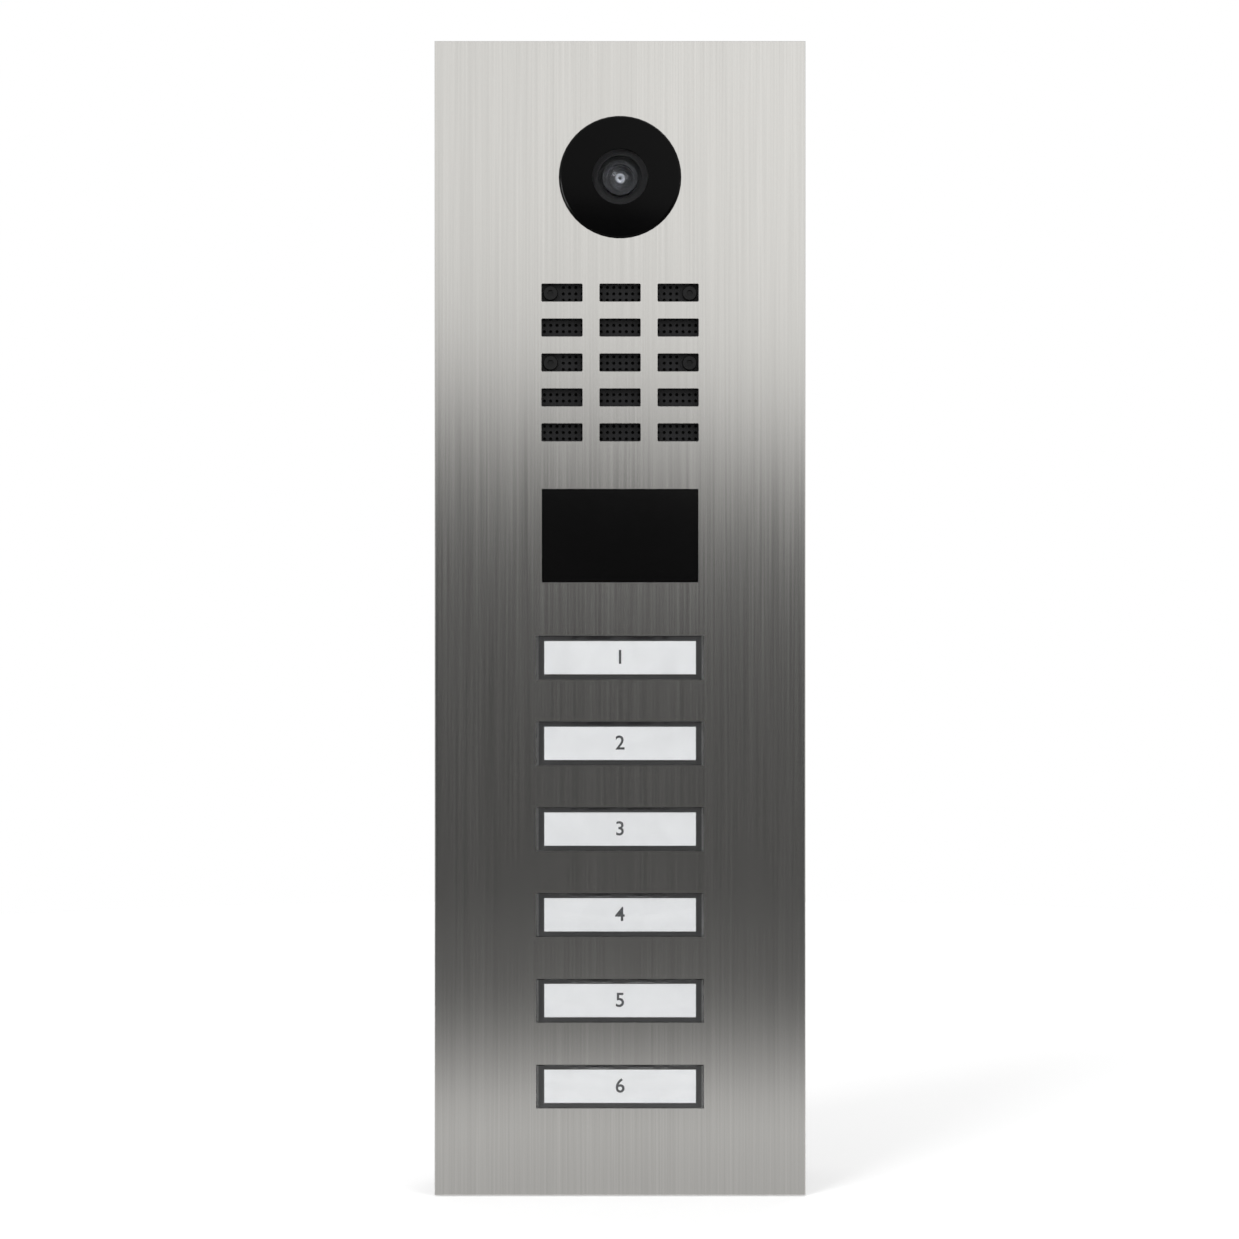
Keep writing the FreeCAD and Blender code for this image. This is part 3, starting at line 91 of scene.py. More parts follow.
camera_data = bpy.data.cameras.new("camera")
camera_data.sensor_width = SENSOR_WIDTH
camera_data.lens = SENSOR_WIDTH * CAMERA_DISTANCE / VIEW_HEIGHT
camera = bpy.data.objects.new("camera", camera_data)
camera.location = (VIEW_CENTRE[0], plate_low.y - CAMERA_DISTANCE, VIEW_CENTRE[1])
camera.rotation_euler = UPRIGHT
bpy.context.scene.collection.objects.link(camera)
bpy.context.scene.camera = camera
bpy.context.scene.view_settings.view_transform = "Standard"

world = bpy.data.worlds.new("white room")
world.use_nodes = True
bpy.context.scene.world = world
world.node_tree.nodes.clear()
room_light = add_node(world.node_tree, "ShaderNodeBackground", {"Color": WHITE, "Strength": 0.5})
room_white = add_node(world.node_tree, "ShaderNodeBackground", {"Color": WHITE, "Strength": 1.0})
room_mix = add_node(world.node_tree, "ShaderNodeMixShader",
                    {"Fac": seen_directly(world.node_tree), 1: room_light.outputs[0],
                     2: room_white.outputs[0]})
add_node(world.node_tree, "ShaderNodeOutputWorld", {"Surface": room_mix.outputs[0]})


def softbox(name, place, size, power):
    data = bpy.data.lights.new(name, "AREA")
    data.shape = "RECTANGLE"
    data.size, data.size_y = size
    data.energy = power
    lamp = bpy.data.objects.new(name, data)
    lamp.location = place
    aim = camera.location.copy()
    aim.xyz = (0, 0, 0)
    lamp.rotation_euler = (aim - lamp.location).to_track_quat("-Z", "Y").to_euler()
    lamp.visible_glossy = False
    bpy.context.scene.collection.objects.link(lamp)
    return lamp


softbox("left softbox", (-1.0, -1.4, 1.2), (0.9, 0.9), 24.0)
softbox("right softbox", (1.2, -1.3, 0.5), (0.8, 1.1), 10.0)
softbox("rear softbox", (0.5, 1.6, 1.3), (1.0, 1.0), 16.0)

bpy.ops.mesh.primitive_circle_add(vertices=96, radius=TABLE_RADIUS, fill_type="NGON",
                                  location=(0, 0, plate_low.z - TABLE_GAP))
table_top = bpy.context.object
table_top.name = "table_top"
TABLE_PAINT = 0.73
TABLE_LIFT = 0.36
table_white, tree = empty_material("white table")
table_paint = add_node(tree, "ShaderNodeBsdfDiffuse",
                       {"Color": (TABLE_PAINT, TABLE_PAINT, TABLE_PAINT, 1)})
table_glow = add_node(tree, "ShaderNodeEmission", {"Color": WHITE, "Strength": TABLE_LIFT})
no_glow = add_node(tree, "ShaderNodeEmission", {"Color": WHITE, "Strength": 0.0})
table_seen = add_node(tree, "ShaderNodeMixShader", {"Fac": seen_directly(tree),
                                                    1: no_glow.outputs[0],
                                                    2: table_glow.outputs[0]})
table_sum = add_node(tree, "ShaderNodeAddShader", {0: table_paint.outputs[0],
                                                   1: table_seen.outputs[0]})
add_node(tree, "ShaderNodeOutputMaterial", {"Surface": table_sum.outputs[0]})
table_top.data.materials.append(table_white)


def mirror_card(name, place, size, turn, material):
    bpy.ops.object.select_all(action="DESELECT")
    bpy.ops.mesh.primitive_plane_add(size=1, location=place, rotation=turn)
    card = bpy.context.object
    card.name = name
    card.scale = (*size, 1)
    bpy.ops.object.transform_apply(location=False)
    card.data.materials.append(material)
    card.visible_camera = False
    card.visible_diffuse = False
    card.visible_transmission = False
    card.visible_shadow = False


def paint_ramp(node, shades):
    ramp = node.color_ramp
    while len(ramp.elements) < len(shades):
        ramp.elements.new(0.5)
    for stop, (at, shade) in zip(ramp.elements, shades):
        stop.position = at
        stop.color = (shade, shade * 0.995, shade * 0.98, 1)


# The card's glow is painted light: a pool of light on the table that fades away from the plate,
# with painted shadow of the panel close to it, seen only in reflections.
painted_pool_material, tree = empty_material("painted pool of light")
card_place = add_node(tree, "ShaderNodeNewGeometry").outputs["Position"]
from_middle = add_node(tree, "ShaderNodeVectorMath",
                       {0: card_place, 1: (0, 0, plate_low.z)}, operation="DISTANCE")
painted_pool_shade = add_node(tree, "ShaderNodeValToRGB", {"Fac": from_middle.outputs["Value"]})
PAINTED_POOL_SHADES = ((0.08, 0.63), (0.19, 0.69), (0.26, 0.645), (0.34, 0.49), (0.43, 0.34),
               (0.53, 0.225), (0.65, 0.165), (0.8, 0.15), (1.0, 0.14))
paint_ramp(painted_pool_shade, PAINTED_POOL_SHADES)
painted_pool_glow = add_node(tree, "ShaderNodeEmission", {"Color": painted_pool_shade.outputs["Color"]})
add_node(tree, "ShaderNodeOutputMaterial", {"Surface": painted_pool_glow.outputs[0]})
CARD_WIDTH, CARD_DEPTH = 2.0, 0.94
mirror_card("painted_pool_card", (0, plate_low.y - CARD_DEPTH / 2, plate_low.z - TABLE_GAP / 2),
            (CARD_WIDTH, CARD_DEPTH), (0, 0, 0), painted_pool_material)

SCREEN_SIZE = (7.0, 2.6)
SCREEN_LEAN = 0.14
SHADES_FROM, SHADES_TO = -0.3, 0.7
LEFT_DIM, RIGHT_BRIGHT = 0.68, 1.36
SIDE_REACH = 1.6
screen_dark, tree = empty_material("graduated screen")
place = add_node(tree, "ShaderNodeTexCoord").outputs["Object"]
across = add_node(tree, "ShaderNodeSeparateXYZ", {0: place})
leaning = add_node(tree, "ShaderNodeMath", {0: across.outputs["X"], 1: SCREEN_LEAN,
                                            2: across.outputs["Z"]}, operation="MULTIPLY_ADD")
height = add_node(tree, "ShaderNodeMapRange", {"Value": leaning.outputs[0],
                                               "From Min": SHADES_FROM, "From Max": SHADES_TO})
shades = add_node(tree, "ShaderNodeValToRGB", {"Fac": height.outputs[0]})
SCREEN_SHADES = ((0.0, 0.1), (0.36, 0.095), (0.42, 0.103), (0.46, 0.14), (0.51, 0.36),
                 (0.57, 0.78), (0.63, 1.0), (0.76, 1.08), (1.0, 1.12))
paint_ramp(shades, SCREEN_SHADES)
sideways = add_node(tree, "ShaderNodeMapRange",
                    {"Value": across.outputs["X"], "From Min": -SIDE_REACH,
                     "From Max": SIDE_REACH, "To Min": LEFT_DIM, "To Max": RIGHT_BRIGHT})
screen_glow = add_node(tree, "ShaderNodeEmission", {"Color": shades.outputs["Color"],
                                                    "Strength": sideways.outputs[0]})
add_node(tree, "ShaderNodeOutputMaterial", {"Surface": screen_glow.outputs[0]})
mirror_card("dark_screen", (0, -SCREEN_DISTANCE, 0), SCREEN_SIZE, UPRIGHT, screen_dark)


# ---- Back box ----
# Flush box of glass-filled plastic that is plastered into the wall. Moulded in one piece with a
# fine spark-eroded grain, flow marks and a little plaster dust on its upper faces.
def new_group(name, inputs, outputs):
    group = bpy.data.node_groups.new(name, "ShaderNodeTree")
    for label, kind, value in inputs:
        group.interface.new_socket(label, in_out="INPUT", socket_type=kind).default_value = value
    for label, kind in outputs:
        group.interface.new_socket(label, in_out="OUTPUT", socket_type=kind)
    return group, add_node(group, "NodeGroupInput"), add_node(group, "NodeGroupOutput")


def group_output(group, sink, values):
    for label, socket in values.items():
        group.links.new(socket, sink.inputs[label])


COLOUR, NUMBER = "NodeSocketColor", "NodeSocketFloat"

grain_group, given, result = new_group(
    "moulded grain",
    (("Color", COLOUR, WHITE), ("Second Color", COLOUR, WHITE), ("Grain Scale", NUMBER, 900.0),
     ("Flow Scale", NUMBER, 30.0), ("Roughness", NUMBER, 0.5), ("Roughness Spread", NUMBER, 0.15)),
    (("Color", COLOUR), ("Roughness", NUMBER), ("Height", NUMBER)))
place = add_node(grain_group, "ShaderNodeTexCoord").outputs["Object"]
grain = add_node(grain_group, "ShaderNodeTexNoise",
                 {"Vector": place, "Scale": given.outputs["Grain Scale"], "Detail": 3.0})
flow = add_node(grain_group, "ShaderNodeTexNoise",
                {"Vector": place, "Scale": given.outputs["Flow Scale"], "Detail": 5.0,
                 "Distortion": 1.2})
flow_band = add_node(grain_group, "ShaderNodeMapRange",
                     {"Value": flow.outputs["Fac"], "From Min": 0.3, "From Max": 0.7})
tinted = add_node(grain_group, "ShaderNodeMixRGB",
                  {"Fac": flow_band.outputs[0], "Color1": given.outputs["Color"],
                   "Color2": given.outputs["Second Color"]})
centred = add_node(grain_group, "ShaderNodeMath", {0: grain.outputs["Fac"], 1: 0.5},
                   operation="SUBTRACT")
rough = add_node(grain_group, "ShaderNodeMath",
                 {0: centred.outputs[0], 1: given.outputs["Roughness Spread"],
                  2: given.outputs["Roughness"]}, operation="MULTIPLY_ADD")
group_output(grain_group, result, {"Color": tinted.outputs[0], "Roughness": rough.outputs[0],
                                   "Height": grain.outputs["Fac"]})

dust_group, given, result = new_group(
    "settled dust",
    (("Color", COLOUR, WHITE), ("Dust Color", COLOUR, WHITE), ("Amount", NUMBER, 0.3)),
    (("Color", COLOUR),))
place = add_node(dust_group, "ShaderNodeTexCoord").outputs["Object"]
patches = add_node(dust_group, "ShaderNodeTexNoise", {"Vector": place, "Scale": 55.0,
                                                      "Detail": 6.0})
facing = add_node(dust_group, "ShaderNodeSeparateXYZ",
                  {0: add_node(dust_group, "ShaderNodeNewGeometry").outputs["Normal"]})
upward = add_node(dust_group, "ShaderNodeMapRange",
                  {"Value": facing.outputs["Z"], "From Min": 0.0, "From Max": 1.0, "To Min": 0.15})
patchy = add_node(dust_group, "ShaderNodeMapRange",
                  {"Value": patches.outputs["Fac"], "From Min": 0.45, "From Max": 0.75})
cover = add_node(dust_group, "ShaderNodeMath", {0: upward.outputs[0], 1: patchy.outputs[0]},
                 operation="MULTIPLY")
amount = add_node(dust_group, "ShaderNodeMath", {0: cover.outputs[0], 1: given.outputs["Amount"]},
                  operation="MULTIPLY")
dusted = add_node(dust_group, "ShaderNodeMixRGB",
                  {"Fac": amount.outputs[0], "Color1": given.outputs["Color"],
                   "Color2": given.outputs["Dust Color"]})
group_output(dust_group, result, {"Color": dusted.outputs[0]})


DUST_COLOUR = (0.45, 0.43, 0.4, 1)
GRAIN_DEPTH = 0.0002


def moulded(name, colour, second, roughness=0.5, grain_scale=900.0, flow_scale=30.0, bump=0.25,
            spread=0.15, dust=0.0, **shader):
    material, tree = empty_material(name)
    made = add_node(tree, "ShaderNodeGroup",
                    {"Color": (*colour, 1), "Second Color": (*second, 1),
                     "Grain Scale": grain_scale, "Flow Scale": flow_scale,
                     "Roughness": roughness, "Roughness Spread": spread}, node_tree=grain_group)
    colour_out = made.outputs["Color"]
    if dust:
        colour_out = add_node(tree, "ShaderNodeGroup",
                              {"Color": colour_out, "Dust Color": DUST_COLOUR, "Amount": dust},
                              node_tree=dust_group).outputs["Color"]
    relief = add_node(tree, "ShaderNodeBump", {"Height": made.outputs["Height"],
                                               "Strength": bump, "Distance": GRAIN_DEPTH})
    surface = add_node(tree, "ShaderNodeBsdfPrincipled",
                       {"Base Color": colour_out, "Roughness": made.outputs["Roughness"],
                        "Normal": relief.outputs[0], **shader})
    add_node(tree, "ShaderNodeOutputMaterial", {"Surface": surface.outputs[0]})
    return material


def dress(material, *names):
    for name in names:
        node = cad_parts[name]
        for slot in node.material_slots:
            slot.material = material
        if not node.material_slots:
            node.data.materials.append(material)


box_plastic = moulded("box plastic", (0.062, 0.062, 0.067), (0.078, 0.078, 0.083), roughness=0.58,
                      grain_scale=1400.0, bump=0.45, dust=0.5)
dress(box_plastic, "back_box")


# ---- Cable grommets ----
# Two soft black rubber sleeves pushed into the holes of the back box floor, where the door
# wiring comes in.
soft_rubber = moulded("soft rubber", (0.018, 0.018, 0.019), (0.028, 0.028, 0.028), roughness=0.72,
                      grain_scale=2200.0, bump=0.3, dust=0.35)
dress(soft_rubber, "cable_grommets")


# ---- Plate gasket ----
# Flat ring of solid sealing rubber pressed between the rim of the back box and the face plate,
# die cut, with a slight skin.
seal_rubber = moulded("seal rubber", (0.03, 0.03, 0.031), (0.042, 0.042, 0.042), roughness=0.8,
                      grain_scale=1700.0, bump=0.5, dust=0.2)
dress(seal_rubber, "plate_gasket")


# ---- Face plate ----
# Three millimetre stainless steel, laser cut, its front brushed from top to bottom and its edge
# broken. The studs behind it are welded on.
brush_group, given, result = new_group(
    "brushed lines",
    (("Color", COLOUR, WHITE), ("Dark Line Color", COLOUR, WHITE), ("Roughness", NUMBER, 0.3),
     ("Roughness Spread", NUMBER, 0.05), ("Lines Across", NUMBER, 1500.0),
     ("Lines Along", NUMBER, 9.0)),
    (("Color", COLOUR), ("Roughness", NUMBER), ("Height", NUMBER)))
place = add_node(brush_group, "ShaderNodeTexCoord").outputs["Object"]
stretch = add_node(brush_group, "ShaderNodeCombineXYZ",
                   {"X": given.outputs["Lines Across"], "Y": given.outputs["Lines Across"],
                    "Z": given.outputs["Lines Along"]})
drawn = add_node(brush_group, "ShaderNodeVectorMath", {0: place, 1: stretch.outputs[0]},
                 operation="MULTIPLY")
fine = add_node(brush_group, "ShaderNodeTexNoise", {"Vector": drawn.outputs[0], "Scale": 1.0,
                                                    "Detail": 1.0, "Roughness": 0.6})
broad = add_node(brush_group, "ShaderNodeTexNoise", {"Vector": drawn.outputs[0], "Scale": 0.2,
                                                     "Detail": 3.0, "Roughness": 0.7})
streaks = add_node(brush_group, "ShaderNodeMixRGB", {"Fac": 0.4, "Color1": fine.outputs["Fac"],
                                                     "Color2": broad.outputs["Fac"]})
contrast = add_node(brush_group, "ShaderNodeMapRange",
                    {"Value": streaks.outputs[0], "From Min": 0.3, "From Max": 0.7})
lined = add_node(brush_group, "ShaderNodeMixRGB",
                 {"Fac": contrast.outputs[0], "Color1": given.outputs["Dark Line Color"],
                  "Color2": given.outputs["Color"]})
centred = add_node(brush_group, "ShaderNodeMath", {0: contrast.outputs[0], 1: 0.5},
                   operation="SUBTRACT")
rough = add_node(brush_group, "ShaderNodeMath",
                 {0: centred.outputs[0], 1: given.outputs["Roughness Spread"],
                  2: given.outputs["Roughness"]}, operation="MULTIPLY_ADD")
group_output(brush_group, result, {"Color": lined.outputs[0], "Roughness": rough.outputs[0],
                                   "Height": fine.outputs["Fac"]})


BRUSH_DEPTH = 0.0001


def brushed(name, colour, dark, roughness, anisotropy, bump=0.08, across=1500.0, along=9.0,
            **shader):
    material, tree = empty_material(name)
    made = add_node(tree, "ShaderNodeGroup",
                    {"Color": (*colour, 1), "Dark Line Color": (*dark, 1),
                     "Roughness": roughness, "Lines Across": across, "Lines Along": along},
                    node_tree=brush_group)
    relief = add_node(tree, "ShaderNodeBump", {"Height": made.outputs["Height"],
                                               "Strength": bump, "Distance": BRUSH_DEPTH})
    grain_way = add_node(tree, "ShaderNodeTangent", direction_type="RADIAL", axis="Z")
    surface = add_node(tree, "ShaderNodeBsdfPrincipled",
                       {"Base Color": made.outputs["Color"], "Metallic": 1.0,
                        "Roughness": made.outputs["Roughness"], "Anisotropic": anisotropy,
                        "Tangent": grain_way.outputs[0], "Normal": relief.outputs[0], **shader})
    add_node(tree, "ShaderNodeOutputMaterial", {"Surface": surface.outputs[0]})
    return material


face_steel = brushed("brushed stainless steel", (0.635, 0.628, 0.612), (0.545, 0.538, 0.524),
                     roughness=0.21, anisotropy=1.0, bump=0.05, across=1300.0, along=10.0)
dress(face_steel, "face_plate")


# ---- Nuts and screws ----
# Hexagon nuts on the welded studs and the pan-head screws of the frame, zinc plated and passed
# through a clear bath that leaves faint blue and yellow clouds.
zinc_plate = moulded("zinc plated steel", (0.6, 0.6, 0.57), (0.52, 0.55, 0.6), roughness=0.32,
                     grain_scale=600.0, flow_scale=140.0, bump=0.08, Metallic=1.0)
dress(zinc_plate, "plate_nuts", "assembly_screws")


# ---- Chassis ----
# Black moulded tray behind the face plate that carries every unit, with its cover at the rear,
# and four bent spring clips that hold it in the back box.
frame_plastic = moulded("frame plastic", (0.017, 0.017, 0.018), (0.024, 0.024, 0.025),
                        roughness=0.5, grain_scale=1500.0, bump=0.35)
dress(frame_plastic, "chassis", "rear_cover")
spring_steel = brushed("spring steel", (0.56, 0.56, 0.55), (0.44, 0.44, 0.44), roughness=0.28,
                       anisotropy=0.6, across=2500.0, along=60.0)
dress(spring_steel, "spring_clips")


# ---- Camera ----
# A low dome of smoke-black acrylic with a hard coat covers the infrared lamps. Its clear centre
# shows the bezel ring and the lens in its black anodised barrel.
smoke_acrylic = moulded("smoke black acrylic", (0.0012, 0.0012, 0.0013), (0.0018, 0.0018, 0.0019),
                        roughness=0.16, grain_scale=420.0, flow_scale=16.0, bump=0.03, spread=0.08,
                        **{"Specular IOR Level": 0.07})
dress(smoke_acrylic, "camera_cover")


SCRATCH_SCALE, CLOUD_SCALE, SCRATCH_DEPTH = 380.0, 45.0, 0.0001
CLOUD_DARKENING = 0.97
LAMP_TINT = (0.97, 0.97, 0.97, 1)


def clear(name, colour, roughness, ior, scratch=0.02, through=1.0):
    material, tree = empty_material(name)
    clouded = [CLOUD_DARKENING * part for part in colour]
    made = add_node(tree, "ShaderNodeGroup",
                    {"Color": (*colour, 1), "Second Color": (*clouded, 1),
                     "Grain Scale": SCRATCH_SCALE, "Flow Scale": CLOUD_SCALE,
                     "Roughness": roughness, "Roughness Spread": roughness},
                    node_tree=grain_group)
    relief = add_node(tree, "ShaderNodeBump", {"Height": made.outputs["Height"],
                                               "Strength": scratch, "Distance": SCRATCH_DEPTH})
    surface = add_node(tree, "ShaderNodeBsdfPrincipled",
                       {"Base Color": made.outputs["Color"], "Roughness": roughness,
                        "IOR": ior, "Transmission Weight": through, "Normal": relief.outputs[0]})
    if roughness:
        tree.links.new(made.outputs["Roughness"], surface.inputs["Roughness"])
    let_through = add_node(tree, "ShaderNodeBsdfTransparent", {"Color": LAMP_TINT})
    lamp_ray = add_node(tree, "ShaderNodeLightPath").outputs["Is Shadow Ray"]
    glass = add_node(tree, "ShaderNodeMixShader", {"Fac": lamp_ray, 1: surface.outputs[0],
                                                   2: let_through.outputs[0]})
    add_node(tree, "ShaderNodeOutputMaterial", {"Surface": glass.outputs[0]})
    return material


camera_glass = clear("camera window glass", (0.86, 0.88, 0.9), 0.01, 1.12, scratch=0.004)
dress(camera_glass, "camera_window")
bezel_plastic = moulded("bezel plastic", (0.03, 0.03, 0.031), (0.04, 0.04, 0.041), roughness=0.42,
                        grain_scale=2600.0, bump=0.2)
dress(bezel_plastic, "camera_bezel")
barrel_black = moulded("anodised barrel", (0.012, 0.012, 0.013), (0.018, 0.018, 0.019),
                       roughness=0.33, grain_scale=1900.0, bump=0.1, Metallic=0.6)
dress(barrel_black, "lens_barrel")
dress(frame_plastic, "lens_holder")
sensor_glass = moulded("sensor glass", (0.03, 0.03, 0.05), (0.05, 0.04, 0.06), roughness=0.08,
                       grain_scale=300.0, flow_scale=300.0, bump=0.02,
                       **{"Specular IOR Level": 0.15})
dress(sensor_glass, "image_sensor")
dark_resin = moulded("dark clear resin", (0.02, 0.01, 0.02), (0.028, 0.014, 0.026),
                     roughness=0.12, bump=0.03)
dress(dark_resin, "infrared_leds")

barrel_low, barrel_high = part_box("lens_barrel")
lens_low, lens_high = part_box("front_lens")
lens_x = (barrel_low.x + barrel_high.x) / 2
lens_z = (barrel_low.z + barrel_high.z) / 2


def own_place(piece, name, material):
    piece.name = name
    piece.data.name = name
    piece.data.materials.clear()
    piece.data.materials.append(material)
    bpy.ops.object.select_all(action="DESELECT")
    piece.select_set(True)
    bpy.context.view_layer.objects.active = piece
    bpy.ops.object.transform_apply(location=True, rotation=True, scale=True)
    return piece


ROUND_STEPS = 64
LENS_RADIUS = 0.0048
LENS_CURVE = 0.0085
LENS_THICKNESS = 0.0007
LENS_SMOOTHING = math.radians(40)
RING_SMOOTHING = math.radians(35)
lens_front = lens_low.y
bpy.ops.object.select_all(action="DESELECT")
bpy.ops.mesh.primitive_uv_sphere_add(segments=ROUND_STEPS, ring_count=ROUND_STEPS,
                                     radius=LENS_CURVE, rotation=UPRIGHT,
                                     location=(lens_x, lens_front + LENS_CURVE, lens_z))
outer_lens = own_place(bpy.context.object, "outer_lens",
                       clear("coated lens glass", (0.84, 0.85, 0.88), 0.0, 1.2, scratch=0.002))
lens_sag = LENS_CURVE - math.sqrt(LENS_CURVE ** 2 - LENS_RADIUS ** 2)
bpy.ops.object.mode_set(mode="EDIT")
bpy.ops.mesh.select_all(action="SELECT")
bpy.ops.mesh.bisect(plane_co=(lens_x, lens_front + lens_sag, lens_z), plane_no=(0, 1, 0),
                    clear_outer=True)
bpy.ops.object.mode_set(mode="OBJECT")
solid = outer_lens.modifiers.new("thickness", "SOLIDIFY")
solid.thickness = LENS_THICKNESS
solid.offset = -1
bpy.ops.object.modifier_apply(modifier="thickness")
bpy.ops.object.shade_smooth_by_angle(angle=LENS_SMOOTHING)
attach(outer_lens, "station")
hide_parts("front_lens")


def glint(name, piece, place, size, power):
    lamp = softbox(name, place, size, power)
    lamp.visible_glossy = True
    lamp.visible_diffuse = False
    mirrored_in = bpy.data.collections.new(name)
    mirrored_in.objects.link(piece)
    lamp.light_linking.receiver_collection = mirrored_in


glint("glint in the lens", outer_lens, (1.05, -1.3, 0.62), (0.5, 0.8), 170.0)
glint("glint on the cover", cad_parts["camera_cover"], (-1.2, -0.9, -0.05), (0.8, 0.7), 40.0)


def ring_piece(name, outer, inner, front, depth, broken_edge, material):
    bpy.ops.object.select_all(action="DESELECT")
    bpy.ops.mesh.primitive_circle_add(vertices=ROUND_STEPS, radius=outer, fill_type="NGON",
                                      location=(lens_x, front + depth, lens_z),
                                      rotation=UPRIGHT)
    piece = own_place(bpy.context.object, name, material)
    bpy.ops.object.mode_set(mode="EDIT")
    bpy.ops.mesh.select_all(action="SELECT")
    bpy.ops.mesh.inset(thickness=outer - inner, use_even_offset=False)
    bpy.ops.mesh.delete(type="FACE")
    bpy.ops.mesh.select_all(action="SELECT")
    bpy.ops.mesh.extrude_region_move(TRANSFORM_OT_translate={"value": (0, -depth, 0)})
    bpy.ops.mesh.select_all(action="SELECT")
    bpy.ops.mesh.normals_make_consistent(inside=False)
    bpy.ops.object.mode_set(mode="OBJECT")
    edge = piece.modifiers.new("edge", "BEVEL")
    edge.width = broken_edge
    edge.segments = 2
    edge.limit_method = "ANGLE"
    bpy.ops.object.modifier_apply(modifier="edge")
    bpy.ops.object.shade_smooth_by_angle(angle=RING_SMOOTHING)
    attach(piece, "station")
    return piece


# A black stop ring and the grey retaining ring of the pupil sit on the floor of the barrel.
retainer_grey = moulded("retaining ring", (0.12, 0.12, 0.123), (0.14, 0.14, 0.143),
                        roughness=0.4, grain_scale=2400.0, bump=0.08)
stop_black = moulded("stop paint", (0.004, 0.004, 0.0045), (0.006, 0.006, 0.0065), roughness=0.6,
                     grain_scale=2400.0, bump=0.08, **{"Specular IOR Level": 0.12})
BARREL_FLOOR = lens_high.y
STOP_OUTER, STOP_INNER, STOP_DEPTH, STOP_EDGE = 0.00475, 0.0031, 0.0006, 0.0001
stop_ring = ring_piece("lens_stop", STOP_OUTER, STOP_INNER, BARREL_FLOOR - STOP_DEPTH,
                       STOP_DEPTH, STOP_EDGE, stop_black)
PUPIL_OUTER, PUPIL_INNER, PUPIL_DEPTH, PUPIL_EDGE = 0.0018, 0.0006, 0.0009, 0.0002
pupil_ring = ring_piece("pupil_ring", PUPIL_OUTER, PUPIL_INNER, BARREL_FLOOR - PUPIL_DEPTH,
                        PUPIL_DEPTH, PUPIL_EDGE, retainer_grey)


# ---- Loudspeaker and microphone ----
# Perforated black plate behind the grille with a sheet of fine cloth glued to its back. The
# loudspeaker has a pressed steel basket, a coated paper cone and a ferrite magnet.
baffle_plastic = moulded("baffle plastic", (0.009, 0.009, 0.01), (0.013, 0.013, 0.014),
                         roughness=0.5, grain_scale=1800.0, bump=0.25,
                         **{"Specular IOR Level": 0.25})
dress(baffle_plastic, "speaker_baffle")

weave_group, given, result = new_group(
    "plain weave", (("Threads", NUMBER, 2500.0),), (("Height", NUMBER), ("Thread Mask", NUMBER)))
place = add_node(weave_group, "ShaderNodeTexCoord").outputs["Object"]
warp = add_node(weave_group, "ShaderNodeTexWave", {"Vector": place,
                                                   "Scale": given.outputs["Threads"],
                                                   "Distortion": 0.4}, bands_direction="X")
weft = add_node(weave_group, "ShaderNodeTexWave", {"Vector": place,
                                                   "Scale": given.outputs["Threads"],
                                                   "Distortion": 0.4}, bands_direction="Z")
crossing = add_node(weave_group, "ShaderNodeMath", {0: warp.outputs["Fac"],
                                                    1: weft.outputs["Fac"]},
                    operation="MULTIPLY")
over = add_node(weave_group, "ShaderNodeMath", {0: warp.outputs["Fac"], 1: weft.outputs["Fac"]},
                operation="MAXIMUM")
group_output(weave_group, result, {"Height": over.outputs[0],
                                   "Thread Mask": crossing.outputs[0]})

black_weave, tree = empty_material("black weave")
weave = add_node(tree, "ShaderNodeGroup", node_tree=weave_group)
thread_tint = add_node(tree, "ShaderNodeMixRGB",
                       {"Fac": weave.outputs["Thread Mask"], "Color1": (0.008, 0.008, 0.008, 1),
                        "Color2": (0.022, 0.022, 0.022, 1)})
thread_relief = add_node(tree, "ShaderNodeBump", {"Height": weave.outputs["Height"],
                                                  "Strength": 0.6, "Distance": 0.0001})
surface = add_node(tree, "ShaderNodeBsdfPrincipled",
                   {"Base Color": thread_tint.outputs[0], "Roughness": 0.85,
                    "Normal": thread_relief.outputs[0]})
add_node(tree, "ShaderNodeOutputMaterial", {"Surface": surface.outputs[0]})

CLOTH_THICKNESS = 0.00025
cloth_low, cloth_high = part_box("acoustic_cloth")
cloth_width, cloth_height = cloth_high.x - cloth_low.x, cloth_high.z - cloth_low.z
bpy.ops.object.select_all(action="DESELECT")
bpy.ops.mesh.primitive_grid_add(x_subdivisions=20, y_subdivisions=20, size=1,
                                location=(cloth_low + cloth_high) / 2,
                                rotation=UPRIGHT)
bpy.context.object.scale = (cloth_width, cloth_height, 1)
cloth = own_place(bpy.context.object, "acoustic_mesh", black_weave)
solid = cloth.modifiers.new("thickness", "SOLIDIFY")
solid.thickness = CLOTH_THICKNESS
solid.offset = 0
bpy.ops.object.modifier_apply(modifier="thickness")
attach(cloth, "station")
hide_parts("acoustic_cloth")
black_oxide = moulded("black oxide screw", (0.012, 0.012, 0.013), (0.02, 0.02, 0.02),
                      roughness=0.3, grain_scale=900.0, bump=0.1, Metallic=0.7)
dress(black_oxide, "speaker_screws")
basket_paint = moulded("basket paint", (0.18, 0.18, 0.19), (0.22, 0.22, 0.23), roughness=0.4,
                       bump=0.2)
dress(basket_paint, "speaker_frame")
cone_paper = moulded("cone paper", (0.025, 0.025, 0.025), (0.04, 0.04, 0.04), roughness=0.85,
                     grain_scale=2500.0, flow_scale=400.0, bump=0.6)
dress(cone_paper, "speaker_cone")
ferrite = moulded("ferrite", (0.07, 0.07, 0.075), (0.09, 0.09, 0.095), roughness=0.7,
                  grain_scale=1200.0, bump=0.4)
dress(ferrite, "speaker_magnet")
dress(soft_rubber, "microphone")


